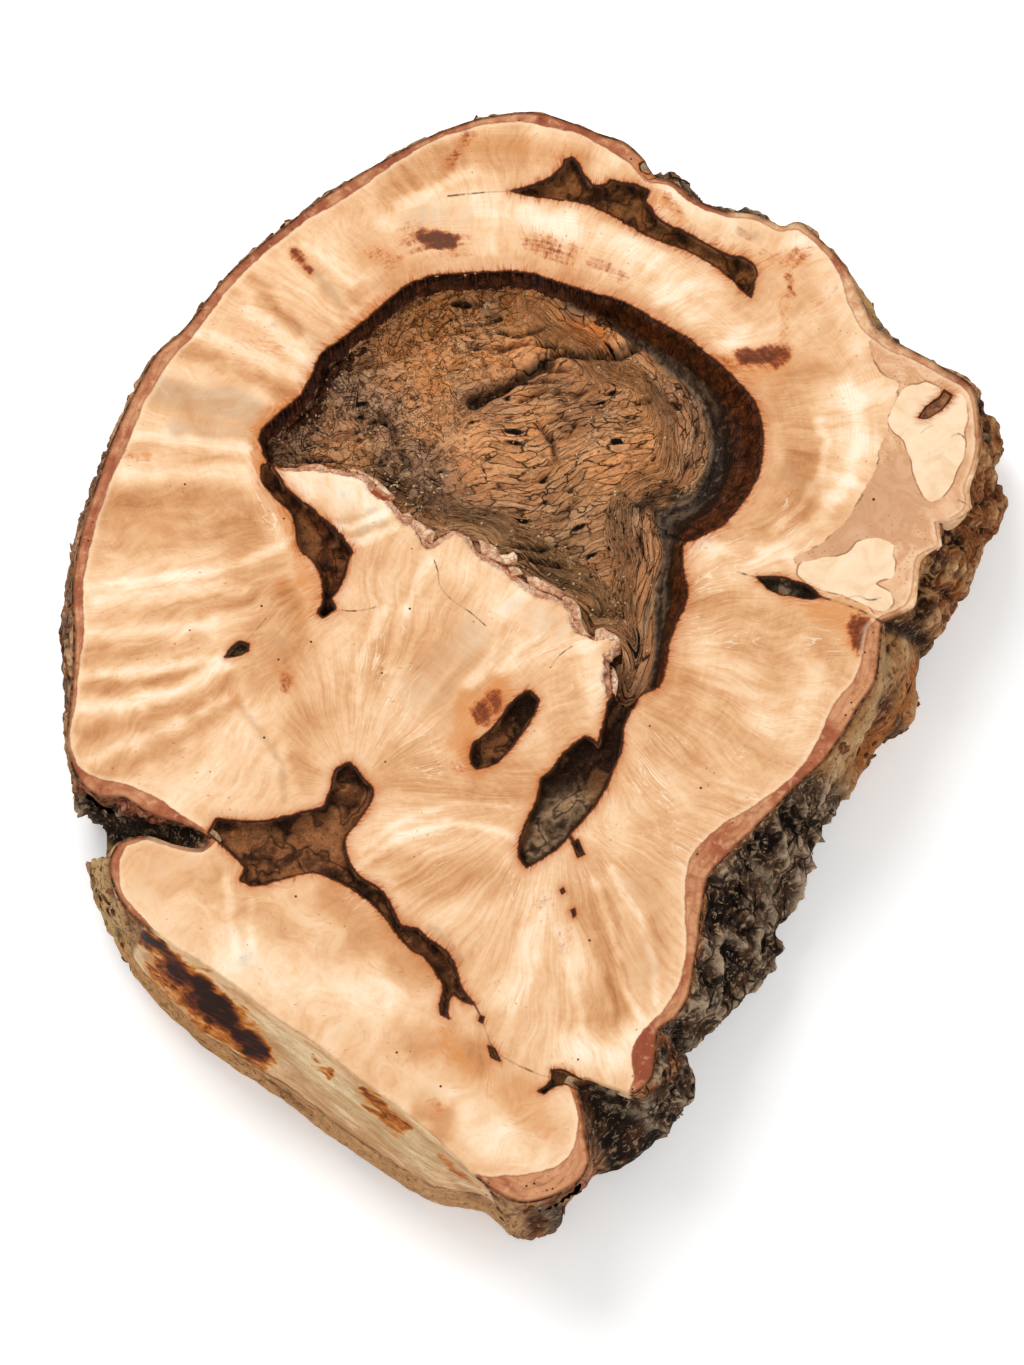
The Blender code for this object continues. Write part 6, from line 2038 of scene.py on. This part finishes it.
def scatter_tree(name):
    """A node tree that scatters flat uneven scales over a surface."""
    tree = bpy.data.node_groups.new(name, "GeometryNodeTree")
    interface = tree.interface
    interface.new_socket("Geometry", in_out="INPUT", socket_type="NodeSocketGeometry")
    for label, kind in (("Density", "NodeSocketFloat"), ("Seed", "NodeSocketInt"), ("Size", "NodeSocketFloat"),
                        ("Flatness", "NodeSocketFloat"), ("Lift", "NodeSocketFloat"),
                        ("Material", "NodeSocketMaterial")):
        interface.new_socket(label, in_out="INPUT", socket_type=kind)
    interface.new_socket("Geometry", in_out="OUTPUT", socket_type="NodeSocketGeometry")
    put = tree.nodes.new
    link = tree.links.new
    entry, leave = put("NodeGroupInput"), put("NodeGroupOutput")
    spread = put("GeometryNodeDistributePointsOnFaces")
    link(entry.outputs["Geometry"], spread.inputs["Mesh"])
    link(entry.outputs["Density"], spread.inputs["Density"])
    link(entry.outputs["Seed"], spread.inputs["Seed"])
    shape = put("GeometryNodeMeshIcoSphere")
    shape.inputs["Subdivisions"].default_value = 1
    shape.inputs["Radius"].default_value = 1.0
    grow = put("FunctionNodeRandomValue")
    grow.data_type = "FLOAT_VECTOR"
    grow.inputs["Min"].default_value = (0.5, 0.35, 0.6)
    grow.inputs["Max"].default_value = (1.3, 0.9, 1.2)
    link(entry.outputs["Seed"], grow.inputs["Seed"])
    flat = put("ShaderNodeCombineXYZ")
    for axis in (0, 1):
        link(entry.outputs["Size"], flat.inputs[axis])
    thin = put("ShaderNodeMath")
    thin.operation = "MULTIPLY"
    link(entry.outputs["Size"], thin.inputs[0])
    link(entry.outputs["Flatness"], thin.inputs[1])
    link(thin.outputs[0], flat.inputs[2])
    size = put("ShaderNodeVectorMath")
    size.operation = "MULTIPLY"
    link(grow.outputs["Value"], size.inputs[0])
    link(flat.outputs[0], size.inputs[1])
    spin = put("FunctionNodeRandomValue")
    spin.data_type = "FLOAT_VECTOR"
    spin.inputs["Min"].default_value = (-0.35, -0.35, 0.0)
    spin.inputs["Max"].default_value = (0.35, 0.35, 2.0 * math.pi)
    link(entry.outputs["Seed"], spin.inputs["Seed"])
    turn = put("FunctionNodeRotateRotation")
    turn.rotation_space = "LOCAL"
    link(spread.outputs["Rotation"], turn.inputs["Rotation"])
    link(spin.outputs["Value"], turn.inputs["Rotate By"])
    place = put("GeometryNodeInstanceOnPoints")
    link(spread.outputs["Points"], place.inputs["Points"])
    link(shape.outputs["Mesh"], place.inputs["Instance"])
    link(turn.outputs["Rotation"], place.inputs["Rotation"])
    link(size.outputs["Vector"], place.inputs["Scale"])
    made = put("GeometryNodeRealizeInstances")
    link(place.outputs["Instances"], made.inputs["Geometry"])
    rough = put("ShaderNodeTexNoise")
    rough.inputs["Scale"].default_value = 420.0
    rough.inputs["Detail"].default_value = 2.0
    centred = put("ShaderNodeVectorMath")
    centred.operation = "SUBTRACT"
    centred.inputs[1].default_value = (0.5, 0.5, 0.5)
    link(rough.outputs["Color"], centred.inputs[0])
    reach = put("ShaderNodeVectorMath")
    reach.operation = "SCALE"
    link(centred.outputs["Vector"], reach.inputs[0])
    link(entry.outputs["Lift"], reach.inputs["Scale"])
    shift = put("GeometryNodeSetPosition")
    link(made.outputs["Geometry"], shift.inputs["Geometry"])
    link(reach.outputs["Vector"], shift.inputs["Offset"])
    dress = put("GeometryNodeSetMaterial")
    link(shift.outputs["Geometry"], dress.inputs["Geometry"])
    link(entry.outputs["Material"], dress.inputs["Material"])
    link(dress.outputs["Geometry"], leave.inputs["Geometry"])
    return tree


def scattered(name, patch, settings):
    """A piece made of scales scattered over a patch of surface."""
    modifier = patch.modifiers.new("scatter", "NODES")
    modifier.node_group = scatter_tree(name)
    for item in modifier.node_group.interface.items_tree:
        if item.in_out == "INPUT" and item.name in settings:
            modifier[item.identifier] = settings[item.name]
    depsgraph = bpy.context.evaluated_depsgraph_get()
    mesh = bpy.data.meshes.new_from_object(patch.evaluated_get(depsgraph))
    if not mesh.polygons:
        raise RuntimeError(f"{name} has no faces")
    patch.modifiers.clear()
    item = bpy.data.objects.new(name, mesh)
    mesh.name = name
    bpy.context.scene.collection.objects.link(item)
    bpy.data.objects.remove(patch)
    points = np.empty(3 * len(mesh.vertices), np.float32)
    mesh.vertices.foreach_get("co", points)
    points = points.reshape(-1, 3)
    points[:, 2] = np.clip(points[:, 2], 0.0006, THICKNESS)
    mesh.vertices.foreach_set("co", points.ravel())
    mesh.shade_smooth()
    finish_piece(item)
    return item


class BURL_OT_bark_scales(bpy.types.Operator):
    """Scatters loose scales over the bark"""

    bl_idname = "burl.bark_scales"
    bl_label = "Bark scales"

    def execute(self, context):
        bark = bpy.data.objects.get("bark_wall")
        if bark is None:
            raise RuntimeError("the bark comes first")
        rows, columns = WALL.grid.shape[:2]
        points = np.empty(3 * len(bark.data.vertices), np.float32)
        bark.data.vertices.foreach_get("co", points)
        points = points.reshape(-1, 3)[:rows * columns]
        scaly = np.nonzero(WALL.kinds["thin"] + 0.7 * WALL.kinds["lumpy"] > 0.6)[0]
        faces = []
        for row in range(3, rows - 4):
            first = row * columns
            after = (scaly + 1) % columns
            faces += np.stack((first + scaly, first + after, first + columns + after, first + columns + scaly),
                              axis=1).tolist()
        material = flake_material()
        patch = new_piece("scale_patch", points, faces, material)
        scattered("bark_scales", patch, {"Density": 7000.0, "Seed": 3, "Size": 0.0028, "Flatness": 0.24,
                                         "Lift": 0.0012, "Material": material})
        return {"FINISHED"}


class BURL_OT_crumbs(bpy.types.Operator):
    """Scatters crumbs of fibre in the hollow"""

    bl_idname = "burl.crumbs"
    bl_label = "Crumbs"

    def execute(self, context):
        lining = bpy.data.objects.get("hollow_lining")
        if lining is None:
            raise RuntimeError("the hollow comes first")
        count = len(lining.data.vertices) // 2
        points = np.empty(3 * len(lining.data.vertices), np.float32)
        lining.data.vertices.foreach_get("co", points)
        points = points.reshape(-1, 3)[:count]
        floor = np.empty(len(lining.data.vertices), np.float32)
        lining.data.attributes["floor"].data.foreach_get("value", floor)
        faces = [list(face.vertices) for face in lining.data.polygons
                 if max(face.vertices) < count and floor[face.vertices[0]] > 0.9 and face.normal.z > 0.75]
        board = Board("fibre_crumb", 0.85, 0.2)
        material = board.finish(board.ramp(board.grain(board.place(), 160.0, 4.0, 0.65), (
            (0.34, (96, 68, 44)), (0.48, (168, 130, 92)), (0.62, (214, 182, 142)))))
        patch = new_piece("crumb_patch", points, faces, material)
        scattered("fibre_crumbs", patch, {"Density": 60000.0, "Seed": 5, "Size": 0.00075, "Flatness": 0.5,
                                          "Lift": 0.0007, "Material": material})
        return {"FINISHED"}


class BURL_OT_stage(bpy.types.Operator):
    """Sets the pale floor, the soft light and the camera"""

    bl_idname = "burl.stage"
    bl_label = "Studio"

    def execute(self, context):
        scene = context.scene
        scene.view_settings.view_transform = "Standard"
        world = bpy.data.worlds.new("studio")
        world.use_nodes = True
        backdrop = world.node_tree.nodes["Background"]
        backdrop.inputs["Color"].default_value = (1.0, 0.998, 0.992, 1.0)
        backdrop.inputs["Strength"].default_value = 0.60
        scene.world = world
        self.floor()
        self.light("key", (-0.7, 0.9, 1.9), 1.2, 26.0)
        self.light("fill", (0.9, -1.1, 1.8), 1.6, 8.0)
        self.camera(scene)
        return {"FINISHED"}

    def floor(self):
        """A pale floor under the slab, lit from below like a light table."""
        board = Board("studio_floor", 0.9, 0.1)
        board.finish(tuple(srgb((246, 246, 245))))
        board.shader.inputs["Emission Color"].default_value = (1.0, 1.0, 1.0, 1.0)
        board.shader.inputs["Emission Strength"].default_value = 0.26
        size = 6.0
        corners = [(x * size, y * size, -0.0002) for x, y in ((-1, -1), (1, -1), (1, 1), (-1, 1))]
        new_piece("floor", corners, [(0, 1, 2, 3)], board.material, smooth=False)

    def light(self, name, place, size, power):
        """A large soft light that faces the slab."""
        data = bpy.data.lights.new(name, "AREA")
        data.shape = "DISK"
        data.size = size
        data.energy = power
        lamp = bpy.data.objects.new(name, data)
        bpy.context.scene.collection.objects.link(lamp)
        lamp.location = place
        lamp.rotation_euler = (-Vector(place)).to_track_quat("-Z", "Y").to_euler()

    def camera(self, scene):
        """The photograph's view."""
        data = bpy.data.cameras.new("camera")
        data.sensor_fit = "HORIZONTAL"
        data.sensor_width = SENSOR_WIDTH
        data.lens = SENSOR_WIDTH * VIEW_DISTANCE / (METRES_PER_PIXEL * PHOTO_WIDTH)
        data.shift_x = (PHOTO_WIDTH / 2 - CENTRE_PIXEL[0]) / PHOTO_WIDTH
        data.shift_y = (CENTRE_PIXEL[1] - PHOTO_HEIGHT / 2) / PHOTO_WIDTH
        camera = bpy.data.objects.new("camera", data)
        scene.collection.objects.link(camera)
        camera.location = (0.0, -VIEW_DISTANCE * math.cos(VIEW_ELEVATION),
                           THICKNESS + VIEW_DISTANCE * math.sin(VIEW_ELEVATION))
        camera.rotation_euler = (math.pi / 2 - VIEW_ELEVATION, 0.0, 0.0)
        scene.camera = camera


class BURL_PT_panel(bpy.types.Panel):
    """The slab's operators and settings"""

    bl_label = "Maple burl"
    bl_space_type = "VIEW_3D"
    bl_region_type = "UI"
    bl_category = "Burl"

    def draw(self, context):
        look = context.scene.burl_look
        for name in BurlLook.__annotations__:
            self.layout.prop(look, name)
        for operator in OPERATORS:
            self.layout.operator(operator.bl_idname)


OPERATORS = (BURL_OT_stage, BURL_OT_sawn_wood, BURL_OT_hollow_lining, BURL_OT_bark_wall, BURL_OT_torn_chips,
             BURL_OT_bark_scales, BURL_OT_crumbs)
CLASSES = (BurlLook, *OPERATORS, BURL_PT_panel)


def register():
    """Registers the add-on."""
    for entry in CLASSES:
        bpy.utils.register_class(entry)
    bpy.types.Scene.burl_look = PointerProperty(type=BurlLook)


def unregister():
    """Removes the add-on."""
    del bpy.types.Scene.burl_look
    for entry in reversed(CLASSES):
        bpy.utils.unregister_class(entry)


def main():
    """Builds everything."""
    register()
    bpy.ops.burl.stage()
    bpy.ops.burl.sawn_wood()
    bpy.ops.burl.hollow_lining()
    bpy.ops.burl.bark_wall()
    bpy.ops.burl.torn_chips()
    bpy.ops.burl.bark_scales()
    bpy.ops.burl.crumbs()


if __name__ == "__main__":
    main()
